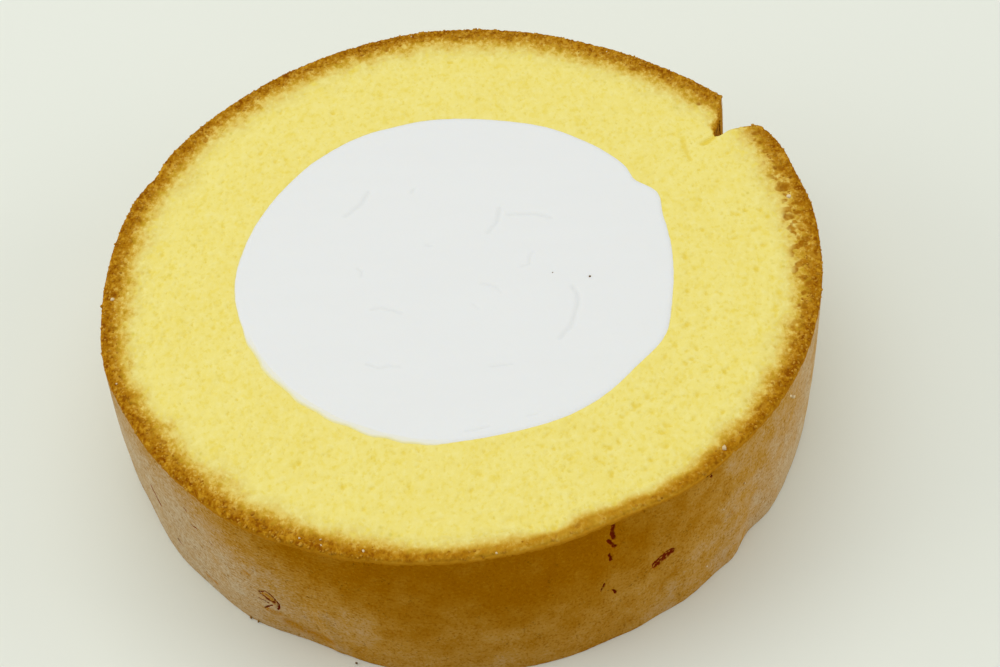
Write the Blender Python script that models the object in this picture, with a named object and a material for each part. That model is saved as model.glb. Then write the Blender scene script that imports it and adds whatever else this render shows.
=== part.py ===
"""One thick slice of a rolled sponge cake, lying on its cut face.

A single sheet of sponge is wrapped once round a column of whipped cream. The two ends of
the sheet meet in a seam, which opens into a notch at the outside. Both pieces run right
through the slice. Metres, +Z up, origin at the centre of the face that the slice lies on.
"""
import math

import bmesh
import bpy
from mathutils import Vector

MM = 0.001

# Driving dimensions
ROLL_RADIUS = 44.0 * MM          # mean outer radius of the upper cut face
SLICE_HEIGHT = 22.0 * MM
CREAM_RADIUS = 27.0 * MM         # mean radius of the cream column
CREAM_CENTRE = Vector((-0.4 * MM, -0.3 * MM))
TOUCH_GAP = 0.3 * MM             # between the cream and the sponge, and across the seam

# How far the outlines stray from a circle: (waves round the roll, height, a crest's degrees)
OUTLINE_WAVES = ((2, 0.62 * MM, 52), (3, 0.41 * MM, 0), (5, 0.17 * MM, 24), (6, 0.12 * MM, 25))
CREAM_WAVES = ((2, 0.19 * MM, 84), (4, 0.11 * MM, 36), (5, 0.21 * MM, 38))
BASE_WAVES = ((3, 1.00 * MM, 50),)
BASE_TAPER = 0.992               # outer size of the lower cut face over the upper one

# Single bumps and dents: (degrees round the roll, half width in degrees, height)
OUTLINE_BUMPS = ((-127, 8, 0.35 * MM), (-69, 7, -0.30 * MM), (-57, 6, 0.35 * MM),
                 (22, 8, 0.30 * MM), (152, 3, -0.45 * MM), (2, 9, -0.15 * MM),
                 (16.5, 5.5, -0.42 * MM), (55, 28, -0.22 * MM), (130, 38, -0.35 * MM),
                 (-165, 8, 0.45 * MM))
BASE_BUMPS = ((-50, 16, -0.80 * MM), (-46, 3, 0.30 * MM), (-39.5, 3.5, -0.60 * MM),
              (-61, 3.5, -0.20 * MM), (-66.5, 3, 0.15 * MM), (-15, 6, 0.35 * MM),
              (-118, 9, -0.85 * MM), (-137, 6, -0.20 * MM), (-161, 9, -0.78 * MM))
CREAM_BUMPS = ((22, 5, 0.80 * MM), (30, 3.5, -0.60 * MM), (-95, 9, 0.35 * MM),
               (-63, 15, 0.50 * MM), (-29, 7.5, 0.70 * MM), (62, 9, 0.30 * MM),
               (180, 8, 0.20 * MM), (104, 6, -0.20 * MM))

# The sheet's two ends, as (radius, degrees) about the roll's centre. They share the seam
# from its foot on the cream to the notch's floor, then part towards the two lips.
SEAM_FOOT_DEGREES = 31.0
NOTCH_FLOOR = (36.8 * MM, 30.3)
LEFT_ELBOW = (40.0 * MM, 31.2)
LEFT_LIP_DEGREES = 37.3
RIGHT_ELBOW = (39.8 * MM, 30.3)
RIGHT_LIP_DEGREES = 28.6
END_BLEND = 11.0 * MM            # length of sheet over which an end's shape dies away
LIP_ROUND = 0.5 * MM             # how far the crust turns in at each lip

# The crust's soft edges and the belly of the side wall
TOP_EDGE = 0.5 * MM
BASE_EDGE = 0.6 * MM
WALL_BELLY = 0.3 * MM

# Mesh resolution
SHEET_STATIONS = 128
SEAM_STEPS = 3                   # steps across the thickness along the seam
NOTCH_STEPS = 2                  # steps from the notch's floor to an elbow
LIP_STEPS = 3                    # steps from an elbow to a lip
EDGE_STEPS = 3                   # steps round a soft edge
WALL_STEPS = 3
CREAM_STEPS = 120
SMOOTH_ANGLE = math.radians(40)

# Places across the thickness, 0 at the cream and 1 at the crust, of an end's corners
FLOOR_ACROSS = 0.56
ELBOW_ACROSS = 0.74


def polar(radius, angle):
    """A point in plan at an angle in radians."""
    return Vector((radius * math.cos(angle), radius * math.sin(angle)))


def turn_between(angle, centre):
    """The angle from centre to angle, between minus and plus half a turn."""
    return (angle - centre + math.pi) % (2 * math.pi) - math.pi


def wave_height(angle, waves):
    """The sum of the waves at an angle."""
    return sum(height * math.cos(count * (angle - math.radians(crest)))
               for count, height, crest in waves)


def bump_height(angle, bumps):
    """The sum of the single bumps and dents at an angle."""
    return sum(height * math.exp(-(turn_between(angle, math.radians(centre)) / math.radians(width)) ** 2)
               for centre, width, height in bumps)


def outer_radius(angle):
    """Outer radius of the upper cut face."""
    return ROLL_RADIUS + wave_height(angle, OUTLINE_WAVES) + bump_height(angle, OUTLINE_BUMPS)


def base_radius(angle):
    """Outer radius of the lower cut face."""
    return (BASE_TAPER * outer_radius(angle) + wave_height(angle, BASE_WAVES)
            + bump_height(angle, BASE_BUMPS))


def cream_point(angle, clearance=0.0):
    """A point on the cream's outline, or outside it by the clearance."""
    radius = CREAM_RADIUS + wave_height(angle, CREAM_WAVES) + bump_height(angle, CREAM_BUMPS)
    return CREAM_CENTRE + polar(radius + clearance, angle)


def ease(value):
    """A smooth rise from 0 to 1."""
    value = min(max(value, 0.0), 1.0)
    return value * value * (3 - 2 * value)


class SheetEnd:
    """One end of the sponge sheet: the line that it follows from the cream to its lip."""

    def __init__(self, elbow, lip_degrees, side):
        floor_radius, floor_degrees = NOTCH_FLOOR
        elbow_radius, elbow_degrees = elbow
        self.lip_angle = math.radians(lip_degrees)
        foot = cream_point(math.radians(SEAM_FOOT_DEGREES), TOUCH_GAP)
        floor = polar(floor_radius, math.radians(floor_degrees))
        along = (floor - foot).normalized()
        aside = Vector((-along.y, along.x)) * side * TOUCH_GAP / 2
        lip = polar(outer_radius(self.lip_angle) - LIP_ROUND, self.lip_angle)
        self.corners = ((0.0, foot + aside), (FLOOR_ACROSS, floor + aside),
                        (ELBOW_ACROSS, polar(elbow_radius, math.radians(elbow_degrees))), (1.0, lip))

    def point(self, across):
        """The end's own line, from the cream at 0 to the lip at 1."""
        for (start, first), (stop, second) in zip(self.corners, self.corners[1:]):
            if across <= stop:
                return first.lerp(second, (across - start) / (stop - start))
        return self.corners[-1][1]

    def bend(self, across):
        """How far the end's line lies from a straight one."""
        return self.point(across) - self.point(0.0).lerp(self.point(1.0), across)


LEFT_END = SheetEnd(LEFT_ELBOW, LEFT_LIP_DEGREES, 1)
RIGHT_END = SheetEnd(RIGHT_ELBOW, RIGHT_LIP_DEGREES, -1)
FOOT_ANGLE = math.radians(SEAM_FOOT_DEGREES)
OUTER_SWEEP = RIGHT_END.lip_angle + 2 * math.pi - LEFT_END.lip_angle
SHEET_LENGTH = OUTER_SWEEP * ROLL_RADIUS


def lip_turn_in(distance):
    """How far the crust has turned in at a distance from the sheet's end."""
    if distance >= LIP_ROUND:
        return 0.0
    return LIP_ROUND - math.sqrt(LIP_ROUND ** 2 - (LIP_ROUND - distance) ** 2)


def inner_line(along):
    """The sheet's inner edge, from its left end at 0 to its right end at 1."""
    half_gap = TOUCH_GAP / 2 / CREAM_RADIUS
    start = FOOT_ANGLE + half_gap
    return cream_point(start + along * 2 * (math.pi - half_gap), TOUCH_GAP)


def outer_line(along):
    """The sheet's outer edge on the upper face, and the direction that it faces."""
    angle = LEFT_END.lip_angle + along * OUTER_SWEEP
    nearest_end = min(along, 1 - along) * SHEET_LENGTH
    return polar(outer_radius(angle) - lip_turn_in(nearest_end), angle), angle


def sheet_point(along, across, height):
    """A point of the sheet: along its length, across its thickness, and up its height."""
    outer, angle = outer_line(along)
    point = inner_line(along).lerp(outer, across)
    point += (1 - ease(along * SHEET_LENGTH / END_BLEND)) * LEFT_END.bend(across)
    point += (1 - ease((1 - along) * SHEET_LENGTH / END_BLEND)) * RIGHT_END.bend(across)
    share = height / SLICE_HEIGHT
    spread = (1 - share) * (base_radius(angle) - outer_radius(angle))
    spread += 4 * share * (1 - share) * WALL_BELLY
    point += polar(spread * ease(across), angle)
    return Vector((point.x, point.y, height))


def across_places():
    """Where the flat faces have points, from the cream to the elbow."""
    seam = [FLOOR_ACROSS * step / SEAM_STEPS for step in range(SEAM_STEPS)]
    notch_width = ELBOW_ACROSS - FLOOR_ACROSS
    notch = [FLOOR_ACROSS + notch_width * step / NOTCH_STEPS for step in range(NOTCH_STEPS)]
    return seam + notch + [ELBOW_ACROSS]


def section(along):
    """One cross-section of the sheet: its top, its rounded outside and its base."""
    outer, _ = outer_line(along)
    thickness = (outer - inner_line(along)).length
    top_end = 1 - TOP_EDGE / thickness
    base_end = 1 - BASE_EDGE / thickness

    def flat_places(end):
        width = end - ELBOW_ACROSS
        return across_places() + [ELBOW_ACROSS + width * step / LIP_STEPS for step in range(1, LIP_STEPS + 1)]

    top = [sheet_point(along, across, SLICE_HEIGHT) for across in flat_places(top_end)]
    base = [sheet_point(along, across, 0.0) for across in flat_places(base_end)]
    outside = []
    for step in range(1, EDGE_STEPS + 1):
        turn = math.pi / 2 * step / EDGE_STEPS
        across = top_end + (1 - top_end) * math.sin(turn)
        outside.append(sheet_point(along, across, SLICE_HEIGHT - TOP_EDGE * (1 - math.cos(turn))))
    wall_height = SLICE_HEIGHT - TOP_EDGE - BASE_EDGE
    for step in range(1, WALL_STEPS):
        outside.append(sheet_point(along, 1.0, BASE_EDGE + wall_height * (1 - step / WALL_STEPS)))
    for step in range(EDGE_STEPS):
        turn = math.pi / 2 * step / EDGE_STEPS
        across = base_end + (1 - base_end) * math.cos(turn)
        outside.append(sheet_point(along, across, BASE_EDGE * (1 - math.sin(turn))))
    return top, outside, base


def station_places():
    """Places along the sheet, closer together towards its two ends."""
    for step in range(SHEET_STATIONS + 1):
        share = step / SHEET_STATIONS
        yield share - 0.6 * math.sin(2 * math.pi * share) / (2 * math.pi)


def add_end_face(mesh, top, outside, base):
    """Close one end of the sheet, from the cream to the lip."""
    for step in range(len(top) - 1):
        mesh.faces.new((top[step], base[step], base[step + 1], top[step + 1]))
    mesh.faces.new([top[-1], base[-1]] + outside[::-1])


def make_sponge():
    """The sheet of sponge, swept from its left end round to its right end."""
    mesh = bmesh.new()
    sections = []
    for along in station_places():
        sections.append([[mesh.verts.new(point) for point in row] for row in section(along)])
    for (top, outside, base), (next_top, next_outside, next_base) in zip(sections, sections[1:]):
        ring = top + outside + base[::-1]
        next_ring = next_top + next_outside + next_base[::-1]
        for step in range(len(ring)):
            after = (step + 1) % len(ring)
            mesh.faces.new((ring[step], ring[after], next_ring[after], next_ring[step]))
    add_end_face(mesh, *sections[0])
    add_end_face(mesh, *sections[-1])
    bmesh.ops.recalc_face_normals(mesh, faces=mesh.faces)
    return mesh


def make_cream():
    """The column of cream, extruded from its outline."""
    mesh = bmesh.new()
    angles = [2 * math.pi * step / CREAM_STEPS for step in range(CREAM_STEPS)]
    outline = [mesh.verts.new(cream_point(angle).to_3d()) for angle in angles]
    floor = mesh.faces.new(outline)
    raised = bmesh.ops.extrude_face_region(mesh, geom=[floor])
    lifted = [item for item in raised["geom"] if isinstance(item, bmesh.types.BMVert)]
    bmesh.ops.translate(mesh, verts=lifted, vec=(0, 0, SLICE_HEIGHT))
    bmesh.ops.recalc_face_normals(mesh, faces=mesh.faces)
    return mesh


def make_material(name, colour, roughness):
    """A plain non-metal material."""
    material = bpy.data.materials.new(name)
    material.use_nodes = True
    shader = material.node_tree.nodes["Principled BSDF"]
    shader.inputs["Base Color"].default_value = (*colour, 1)
    shader.inputs["Roughness"].default_value = roughness
    shader.inputs["Metallic"].default_value = 0.0
    return material


def place(name, mesh, shift, material):
    """Turn a mesh into a named object in the scene, moved by the shift."""
    bmesh.ops.triangulate(mesh, faces=mesh.faces)
    bmesh.ops.translate(mesh, verts=mesh.verts, vec=shift)
    data = bpy.data.meshes.new(name)
    mesh.to_mesh(data)
    mesh.free()
    data.materials.append(material)
    data.shade_smooth()
    data.set_sharp_from_angle(angle=SMOOTH_ANGLE)
    bpy.context.scene.collection.objects.link(bpy.data.objects.new(name, data))


def centring_shift(mesh):
    """The move that brings the middle of a mesh's plan to the origin."""
    xs = [vertex.co.x for vertex in mesh.verts]
    ys = [vertex.co.y for vertex in mesh.verts]
    return Vector((-(min(xs) + max(xs)) / 2, -(min(ys) + max(ys)) / 2, 0))


def main():
    for item in list(bpy.data.objects):
        bpy.data.objects.remove(item, do_unlink=True)
    sponge = make_sponge()
    cream = make_cream()
    shift = centring_shift(sponge)
    print("centring shift in mm:", [round(value / MM, 3) for value in shift])
    place("sponge", sponge, shift, make_material("sponge_crumb", (0.87, 0.71, 0.20), 0.85))
    place("cream", cream, shift, make_material("whipped_cream", (0.83, 0.83, 0.81), 0.45))


main()
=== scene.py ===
# %% [markdown]
# # A slice of rolled sponge cake
#
# A baker spreads cream on a sheet of sponge, rolls it up once and cuts the roll across. What
# lies on the table is one thick slice: a yellow ring of sponge with a browned skin, a wide
# round of white cream, and a notch where the two ends of the sheet meet.
#
# This lesson takes the plain solids of that slice and gives them their real surfaces. We work
# the way the baker does. Each piece starts flat, as a grid on the table, and is then rolled
# up into its place. The load below gives us the solids, in metres, which no step may move.

# %% Load the fixed frame
import math

import bpy
import numpy as np
from mathutils import Matrix, Vector, kdtree, noise


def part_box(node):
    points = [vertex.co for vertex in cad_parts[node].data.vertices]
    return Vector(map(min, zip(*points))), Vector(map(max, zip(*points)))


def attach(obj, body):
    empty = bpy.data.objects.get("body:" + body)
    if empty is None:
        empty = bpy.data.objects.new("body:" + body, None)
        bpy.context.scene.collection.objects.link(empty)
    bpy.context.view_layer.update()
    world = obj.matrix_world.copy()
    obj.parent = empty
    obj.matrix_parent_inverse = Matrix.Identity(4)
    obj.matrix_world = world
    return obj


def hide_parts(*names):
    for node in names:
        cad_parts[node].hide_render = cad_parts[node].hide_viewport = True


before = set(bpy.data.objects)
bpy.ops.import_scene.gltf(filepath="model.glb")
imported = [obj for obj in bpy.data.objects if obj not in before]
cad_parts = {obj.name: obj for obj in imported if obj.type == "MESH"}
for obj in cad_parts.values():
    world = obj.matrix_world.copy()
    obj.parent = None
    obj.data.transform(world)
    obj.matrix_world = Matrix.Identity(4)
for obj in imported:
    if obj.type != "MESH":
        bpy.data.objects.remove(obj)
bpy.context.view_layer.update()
MM = 0.001

# %% [markdown]
# ## The camera
#
# We stand in front of the cake and look down on it steeply, so that the cut face shows as a
# wide oval and the skin as a low wall below it. A long lens from a third of a metre keeps the
# oval natural. The camera leans a little to one side, as a camera held in the hand does. We
# build its turn from three arrows: back to the lens, across the picture, and up the picture.

# %% Place the camera
CAMERA_HEIGHT_ANGLE = math.radians(47.57)
CAMERA_LEAN = math.radians(-4.27)
CAMERA_DISTANCE = 320 * MM
CAMERA_LENS = 88.37                    # on a sensor 36 wide
CAMERA_TARGET = Vector((4.31 * MM, 8.77 * MM, 0))


def place_camera():
    """A long lens that looks down on the slice from the front."""
    back = Vector((0, -math.cos(CAMERA_HEIGHT_ANGLE), math.sin(CAMERA_HEIGHT_ANGLE)))
    level = Vector((1, 0, 0))
    upright = back.cross(level)
    across = math.cos(CAMERA_LEAN) * level + math.sin(CAMERA_LEAN) * upright
    up = math.cos(CAMERA_LEAN) * upright - math.sin(CAMERA_LEAN) * level
    bpy.ops.object.camera_add()
    camera = bpy.context.object
    camera.name = "camera"
    camera.data.lens = CAMERA_LENS
    camera.data.sensor_width = 36
    camera.data.clip_start = 0.01
    turn = Matrix((across, up, back)).transposed().to_4x4()
    camera.matrix_world = Matrix.Translation(CAMERA_TARGET + back * CAMERA_DISTANCE) @ turn
    bpy.context.scene.camera = camera
    return camera


print("camera at", [round(value, 3) for value in place_camera().matrix_world.translation])

# %% [markdown]
# ## The roll, as a formula
#
# The roll isn't quite round. Its outline is a circle with a few slow waves and some single
# bumps, and the cream inside has waves of its own. The lower cut face is a little smaller and
# differently shaped, because the slice settled on it. These are the sizes that the solids
# were made with, so every piece that we roll up lands exactly in its place.

# %% Sizes of the roll
SLICE_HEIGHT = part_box("sponge")[1][2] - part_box("sponge")[0][2]
ROLL_RADIUS = 44 * MM
CREAM_RADIUS = 27 * MM
CREAM_CENTRE = np.array((-0.4 * MM, -0.3 * MM))

# Waves: (waves round the roll, height, a crest's degrees)
OUTLINE_WAVES = ((2, 0.62 * MM, 52), (3, 0.41 * MM, 0), (5, 0.17 * MM, 24), (6, 0.12 * MM, 25))
CREAM_WAVES = ((2, 0.19 * MM, 84), (4, 0.11 * MM, 36), (5, 0.21 * MM, 38))
BASE_WAVES = ((3, 1.00 * MM, 50),)
BASE_TAPER = 0.992

# Single bumps and dents: (degrees round the roll, half width in degrees, height)
OUTLINE_BUMPS = ((-127, 8, 0.35 * MM), (-69, 7, -0.30 * MM), (-57, 6, 0.35 * MM),
                 (22, 8, 0.30 * MM), (152, 3, -0.45 * MM), (2, 9, -0.15 * MM),
                 (16.5, 5.5, -0.42 * MM), (55, 28, -0.22 * MM), (130, 38, -0.35 * MM),
                 (-165, 8, 0.45 * MM))
CREAM_BUMPS = ((22, 5, 0.80 * MM), (30, 3.5, -0.60 * MM), (-95, 9, 0.35 * MM),
               (-63, 15, 0.50 * MM), (-29, 7.5, 0.70 * MM), (62, 9, 0.30 * MM),
               (180, 8, 0.20 * MM), (104, 6, -0.20 * MM))
BASE_BUMPS = ((-50, 16, -0.80 * MM), (-46, 3, 0.30 * MM), (-39.5, 3.5, -0.60 * MM),
              (-61, 3.5, -0.20 * MM), (-66.5, 3, 0.15 * MM), (-15, 6, 0.35 * MM),
              (-118, 9, -0.85 * MM), (-137, 6, -0.20 * MM), (-161, 9, -0.78 * MM))


def polar(radius, angle):
    """Points in plan at angles in radians."""
    return np.stack((radius * np.cos(angle), radius * np.sin(angle)), axis=-1)


def turn_between(angle, degrees):
    """The turn from a place in degrees to each angle, between minus and plus half a turn."""
    return (angle - math.radians(degrees) + np.pi) % (2 * np.pi) - np.pi


def bell(angle, degrees, half_width):
    """A soft hump that is 1 at a place in degrees and dies away past its half width."""
    return np.exp(-(turn_between(angle, degrees) / math.radians(half_width)) ** 2)


def uneven(angle, waves, bumps=()):
    """The height of waves and bumps together, at each angle."""
    height = sum(rise * np.cos(count * (angle - math.radians(crest)))
                 for count, rise, crest in waves)
    return height + sum(rise * bell(angle, centre, width) for centre, width, rise in bumps)


def outer_radius(angle):
    return ROLL_RADIUS + uneven(angle, OUTLINE_WAVES, OUTLINE_BUMPS)


def base_radius(angle):
    return BASE_TAPER * outer_radius(angle) + uneven(angle, BASE_WAVES, BASE_BUMPS)


def cream_radius(angle):
    return CREAM_RADIUS + uneven(angle, CREAM_WAVES, CREAM_BUMPS)


def ease(value, start=0.0, stop=1.0):
    """A smooth rise from 0 at the start to 1 at the stop."""
    share = np.clip((value - start) / (stop - start), 0, 1)
    return share * share * (3 - 2 * share)


print(f"slice {SLICE_HEIGHT / MM:.1f} mm high, outer radius from",
      f"{outer_radius(np.linspace(-np.pi, np.pi, 361)).min() / MM:.1f} mm")

# %% [markdown]
# ## The two ends of the sheet
#
# Both ends of the sponge sheet start together at the cream and share one seam. Near the
# outside they part: the left end runs back to a square lip, and the right end bulges and runs
# out to a pointed lip. We describe each end as a line from 0 at the cream to 1 at the skin.
# A straight sheet end would be simpler, but the notch is what tells a rolled cake from a ring.

# %% Lines of the two ends
SEAM_FOOT_DEGREES = 31.0
FLOOR_ACROSS = 0.56                   # share of the thickness where the notch begins
ELBOW_ACROSS = 0.74
LEFT_LIP_DEGREES = 37.3
RIGHT_LIP_DEGREES = 28.6
LIP_ROUND = 0.5 * MM
END_BLEND = 11 * MM                   # length of sheet over which an end's shape dies away


def end_line(corners, soft=0.05):
    """A line across the thickness through the corners, with its corners softened."""
    places = np.array([place for place, _ in corners])
    points = np.array([point for _, point in corners])

    def at(across):
        across = np.asarray(across, dtype=float)
        spread = [np.clip(across + soft * step, 0, 1) for step in (-1, -0.5, 0, 0.5, 1)]
        return sum(np.stack([np.interp(share, places, points[:, axis]) for axis in (0, 1)], axis=-1)
                   for share in spread) / len(spread)
    return at


def degrees_point(radius, degrees):
    return polar(radius, math.radians(degrees))


SEAM_FOOT = CREAM_CENTRE + degrees_point(cream_radius(math.radians(SEAM_FOOT_DEGREES)),
                                         SEAM_FOOT_DEGREES)
NOTCH_FLOOR = degrees_point(36.8 * MM, 30.2)
LEFT_LIP = degrees_point(outer_radius(math.radians(LEFT_LIP_DEGREES)), LEFT_LIP_DEGREES)
RIGHT_LIP = degrees_point(outer_radius(math.radians(RIGHT_LIP_DEGREES)), RIGHT_LIP_DEGREES)
LEFT_LINE = end_line(((0, SEAM_FOOT), (FLOOR_ACROSS, NOTCH_FLOOR),
                      (0.66, degrees_point(38.9 * MM, 30.7)),
                      (ELBOW_ACROSS, degrees_point(40.4 * MM, 31.6)), (1, LEFT_LIP)))
RIGHT_LINE = end_line(((0, SEAM_FOOT), (FLOOR_ACROSS, NOTCH_FLOOR),
                       (0.66, degrees_point(38.8 * MM, 30.2)),
                       (ELBOW_ACROSS, degrees_point(40.3 * MM, 30.5)),
                       (0.86, degrees_point(42.3 * MM, 30.1)), (1, RIGHT_LIP)))
OUTER_START = math.radians(LEFT_LIP_DEGREES)
OUTER_SWEEP = math.radians(RIGHT_LIP_DEGREES - LEFT_LIP_DEGREES) + 2 * math.pi
SHEET_LENGTH = OUTER_SWEEP * ROLL_RADIUS
print(f"notch mouth {np.linalg.norm(LEFT_LIP - RIGHT_LIP) / MM:.1f} mm,",
      f"sheet {SHEET_LENGTH / MM:.0f} mm long on its outside")

# %% [markdown]
# ## Rolling up
#
# A point of the flat sheet has a place along its length, a place across its thickness and a
# height. The function below carries it to its place in the roll. It stretches a straight
# line between the inner and the outer outline, and near the ends bends that line to the
# end's own shape. Working on whole arrays of points makes this quick for fine meshes.

# %% The rolling function
TUCK = 0.60 * MM                      # how far the sponge reaches under the cream's rim
WALL_BELLY = 0.3 * MM


def end_bend(line, across):
    """How far an end's line lies from a straight one."""
    across = across[..., None]
    straight = line(0.0) * (1 - across) + line(1.0) * across
    return line(across[..., 0]) - straight


def roll_up(along, across, height, inset=0.0):
    """Places of sheet points in the roll. The inset draws the outside in."""
    inner_angle = math.radians(SEAM_FOOT_DEGREES) + along * 2 * np.pi
    outer_angle = OUTER_START + along * OUTER_SWEEP
    lip_distance = np.minimum(along, 1 - along) * SHEET_LENGTH
    turn_in = LIP_ROUND * np.clip(1 - lip_distance / LIP_ROUND, 0, 1) ** 2
    inner = CREAM_CENTRE + polar(cream_radius(inner_angle) - TUCK, inner_angle)
    outer = polar(outer_radius(outer_angle) - turn_in - inset, outer_angle)
    point = inner * (1 - across[..., None]) + outer * across[..., None]
    left = 1 - ease(along * SHEET_LENGTH / END_BLEND)
    right = 1 - ease((1 - along) * SHEET_LENGTH / END_BLEND)
    point += left[..., None] * end_bend(LEFT_LINE, across)
    point += right[..., None] * end_bend(RIGHT_LINE, across)
    share = height / SLICE_HEIGHT
    spread = (1 - share) * (base_radius(outer_angle) - outer_radius(outer_angle))
    spread += 4 * share * (1 - share) * WALL_BELLY
    point += polar(spread * ease(across), outer_angle)
    return np.concatenate((point + ROLL_SHIFT, height[..., None]), axis=-1)


def roll_shift():
    """The move that centres the roll's plan on the origin, as the solids are centred."""
    places = np.linspace(0, 1, 2000)
    rims = [roll_up(places, np.ones_like(places), np.full_like(places, level * SLICE_HEIGHT))
            for level in np.linspace(0, 1, 12)]
    plan = np.concatenate(rims)[:, :2]
    return -(plan.min(axis=0) + plan.max(axis=0)) / 2


ROLL_SHIFT = np.zeros(2)
ROLL_SHIFT = roll_shift()
print("the roll's centre moves by", (ROLL_SHIFT / MM).round(3), "mm")

# %% [markdown]
# ## Helpers for modelling
#
# Every large piece starts in the same way: a flat grid one unit square, extruded downwards
# in layers until it is a closed slab. In the slab x runs along the piece, y across it and z
# down it. Only the faces that will show are then subdivided, so no points are wasted on
# hidden ones. These helpers add the slab, choose faces by their place, and move all points.

# %% Slabs, selections and shaping
FLAT_MARGIN = 0.001                   # shares of the slab that still count as its top
END_MARGIN = 0.0001                   # and as its end


def clear_selection():
    """Nothing selected and nothing in edit mode, so that the next operator starts clean."""
    if bpy.context.object and bpy.context.object.mode != "OBJECT":
        bpy.ops.object.mode_set(mode="OBJECT")
    bpy.ops.object.select_all(action="DESELECT")


def choose(piece):
    clear_selection()
    piece.select_set(True)
    bpy.context.view_layer.objects.active = piece


def add_slab(name, long_cells, cross_cells, layers):
    """A closed slab, one unit each way, from a grid that is extruded down in layers."""
    clear_selection()
    bpy.ops.mesh.primitive_grid_add(x_subdivisions=long_cells, y_subdivisions=cross_cells,
                                    size=1, location=(0.5, 0.5, 0))
    slab = bpy.context.object
    slab.name = slab.data.name = name
    bpy.ops.object.transform_apply(location=True, rotation=False, scale=False)
    bpy.ops.object.mode_set(mode="EDIT")
    bpy.ops.mesh.select_all(action="SELECT")
    for _ in range(layers):
        bpy.ops.mesh.extrude_region_move(TRANSFORM_OT_translate={"value": (0, 0, -1 / layers)})
    bpy.ops.mesh.select_all(action="SELECT")
    bpy.ops.mesh.normals_make_consistent(inside=False)
    bpy.ops.object.mode_set(mode="OBJECT")
    return slab


def read(items, name, width):
    """One value of every vertex or face, as an array of rows."""
    values = np.empty(len(items) * width)
    items.foreach_get(name, values)
    return values.reshape(-1, width)


def on_top(middle):
    """Which faces of a flat slab lie on its top, by their middles."""
    return middle[:, 2] > -FLAT_MARGIN


def slab_end(flat):
    """Which points or faces lie at either end of a flat slab."""
    return (flat[:, 0] < END_MARGIN) | (flat[:, 0] > 1 - END_MARGIN)


def top_or_end(middle):
    return on_top(middle) | slab_end(middle)


def settle_order(piece, old_count):
    """Store a slab in one fixed order: Blender shuffles the new points of its end walls."""
    places = read(piece.data.vertices, "co", 3)
    order = np.arange(len(places))
    shuffled = old_count + np.flatnonzero((slab_end(places) & ~on_top(places))[old_count:])
    order[shuffled] = shuffled[np.lexsort(places[shuffled].T)]
    rank = np.empty(len(order), dtype=int)
    rank[order] = np.arange(len(order))
    faces = []
    for face in piece.data.polygons:
        corners = rank[list(face.vertices)].tolist()
        first = corners.index(min(corners))
        faces.append(corners[first:] + corners[:first])
    piece.data.clear_geometry()
    piece.data.from_pydata(places[order].tolist(), [], sorted(faces))
    piece.data.update()


def subdivide_where(piece, rule):
    """Cut in four each face whose middle the rule accepts."""
    old_count = len(piece.data.vertices)
    bpy.ops.object.mode_set(mode="EDIT")
    bpy.ops.mesh.select_mode(type="FACE")
    bpy.ops.mesh.select_all(action="DESELECT")
    bpy.ops.object.mode_set(mode="OBJECT")
    chosen = rule(read(piece.data.polygons, "center", 3))
    piece.data.polygons.foreach_set("select", chosen)
    bpy.ops.object.mode_set(mode="EDIT")
    bpy.ops.mesh.subdivide(number_cuts=1)
    bpy.ops.object.mode_set(mode="OBJECT")
    settle_order(piece, old_count)
    return int(chosen.sum())


def set_places(piece, places):
    piece.data.vertices.foreach_set("co", np.ascontiguousarray(places).ravel())
    piece.data.update()


def face_outwards(piece):
    """Turn all faces of a closed piece outwards and give its points' new directions."""
    choose(piece)
    bpy.ops.object.mode_set(mode="EDIT")
    bpy.ops.mesh.select_all(action="SELECT")
    bpy.ops.mesh.normals_make_consistent(inside=False)
    bpy.ops.object.mode_set(mode="OBJECT")
    return read(piece.data.vertices, "normal", 3)


def add_mask(piece, name, values):
    """Store one number for every point, which a material can read by its name."""
    layer = piece.data.attributes.new(name=name, type="FLOAT", domain="POINT")
    layer.data.foreach_set("value", np.asarray(values, dtype=np.float32))


def add_vectors(piece, name, rows):
    layer = piece.data.attributes.new(name=name, type="FLOAT_VECTOR", domain="POINT")
    layer.data.foreach_set("vector", np.asarray(rows, dtype=np.float32).ravel())


def finish_piece(piece, material, node):
    """Smooth shading, a material, the part's body, and the solid that the piece stands for."""
    choose(piece)
    bpy.ops.object.shade_smooth()
    piece.data.materials.clear()
    piece.data.materials.append(material)
    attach(piece, "root")
    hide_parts(node)
    triangles = sum(len(face.vertices) - 2 for face in piece.data.polygons)
    print(f"{piece.name}: {len(piece.data.vertices)} points, {triangles} triangles")


# %% [markdown]
# Smooth noise gives every surface its small unevenness. Two more helpers crowd the rows of a
# slab where the shape turns sharply, and measure how close a point lies to a drawn stroke,
# which is how tears, wrinkles and knife marks get their places.

# %% Noise, crowding and strokes


def grain(places, size, seed=0):
    """Smooth noise between about -1 and 1, with lumps of the given size, at each place."""
    step = Vector((seed * 17.3, seed * 5.9, seed * 11.1))
    return np.array([noise.noise(Vector(place) + step) for place in places / size])


def warped(places, size, shift, seed=0):
    """The places, each pushed a little by smooth noise, so that round shapes turn irregular."""
    step = Vector((seed * 13.7, seed * 7.1, seed * 3.3))
    push = np.array([noise.noise_vector(Vector(place) + step) for place in places / size])
    return places + push * shift


def crowd(share, middles, extra, width):
    """Move stations between 0 and 1 closer together around each middle."""
    grid = np.linspace(0, 1, 8001)
    density = 1 + sum(extra * np.exp(-np.abs(grid - middle) / width) for middle in middles)
    total = np.concatenate(([0], np.cumsum((density[1:] + density[:-1]) / 2)))
    return np.interp(share, total / total[-1], grid)


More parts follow.
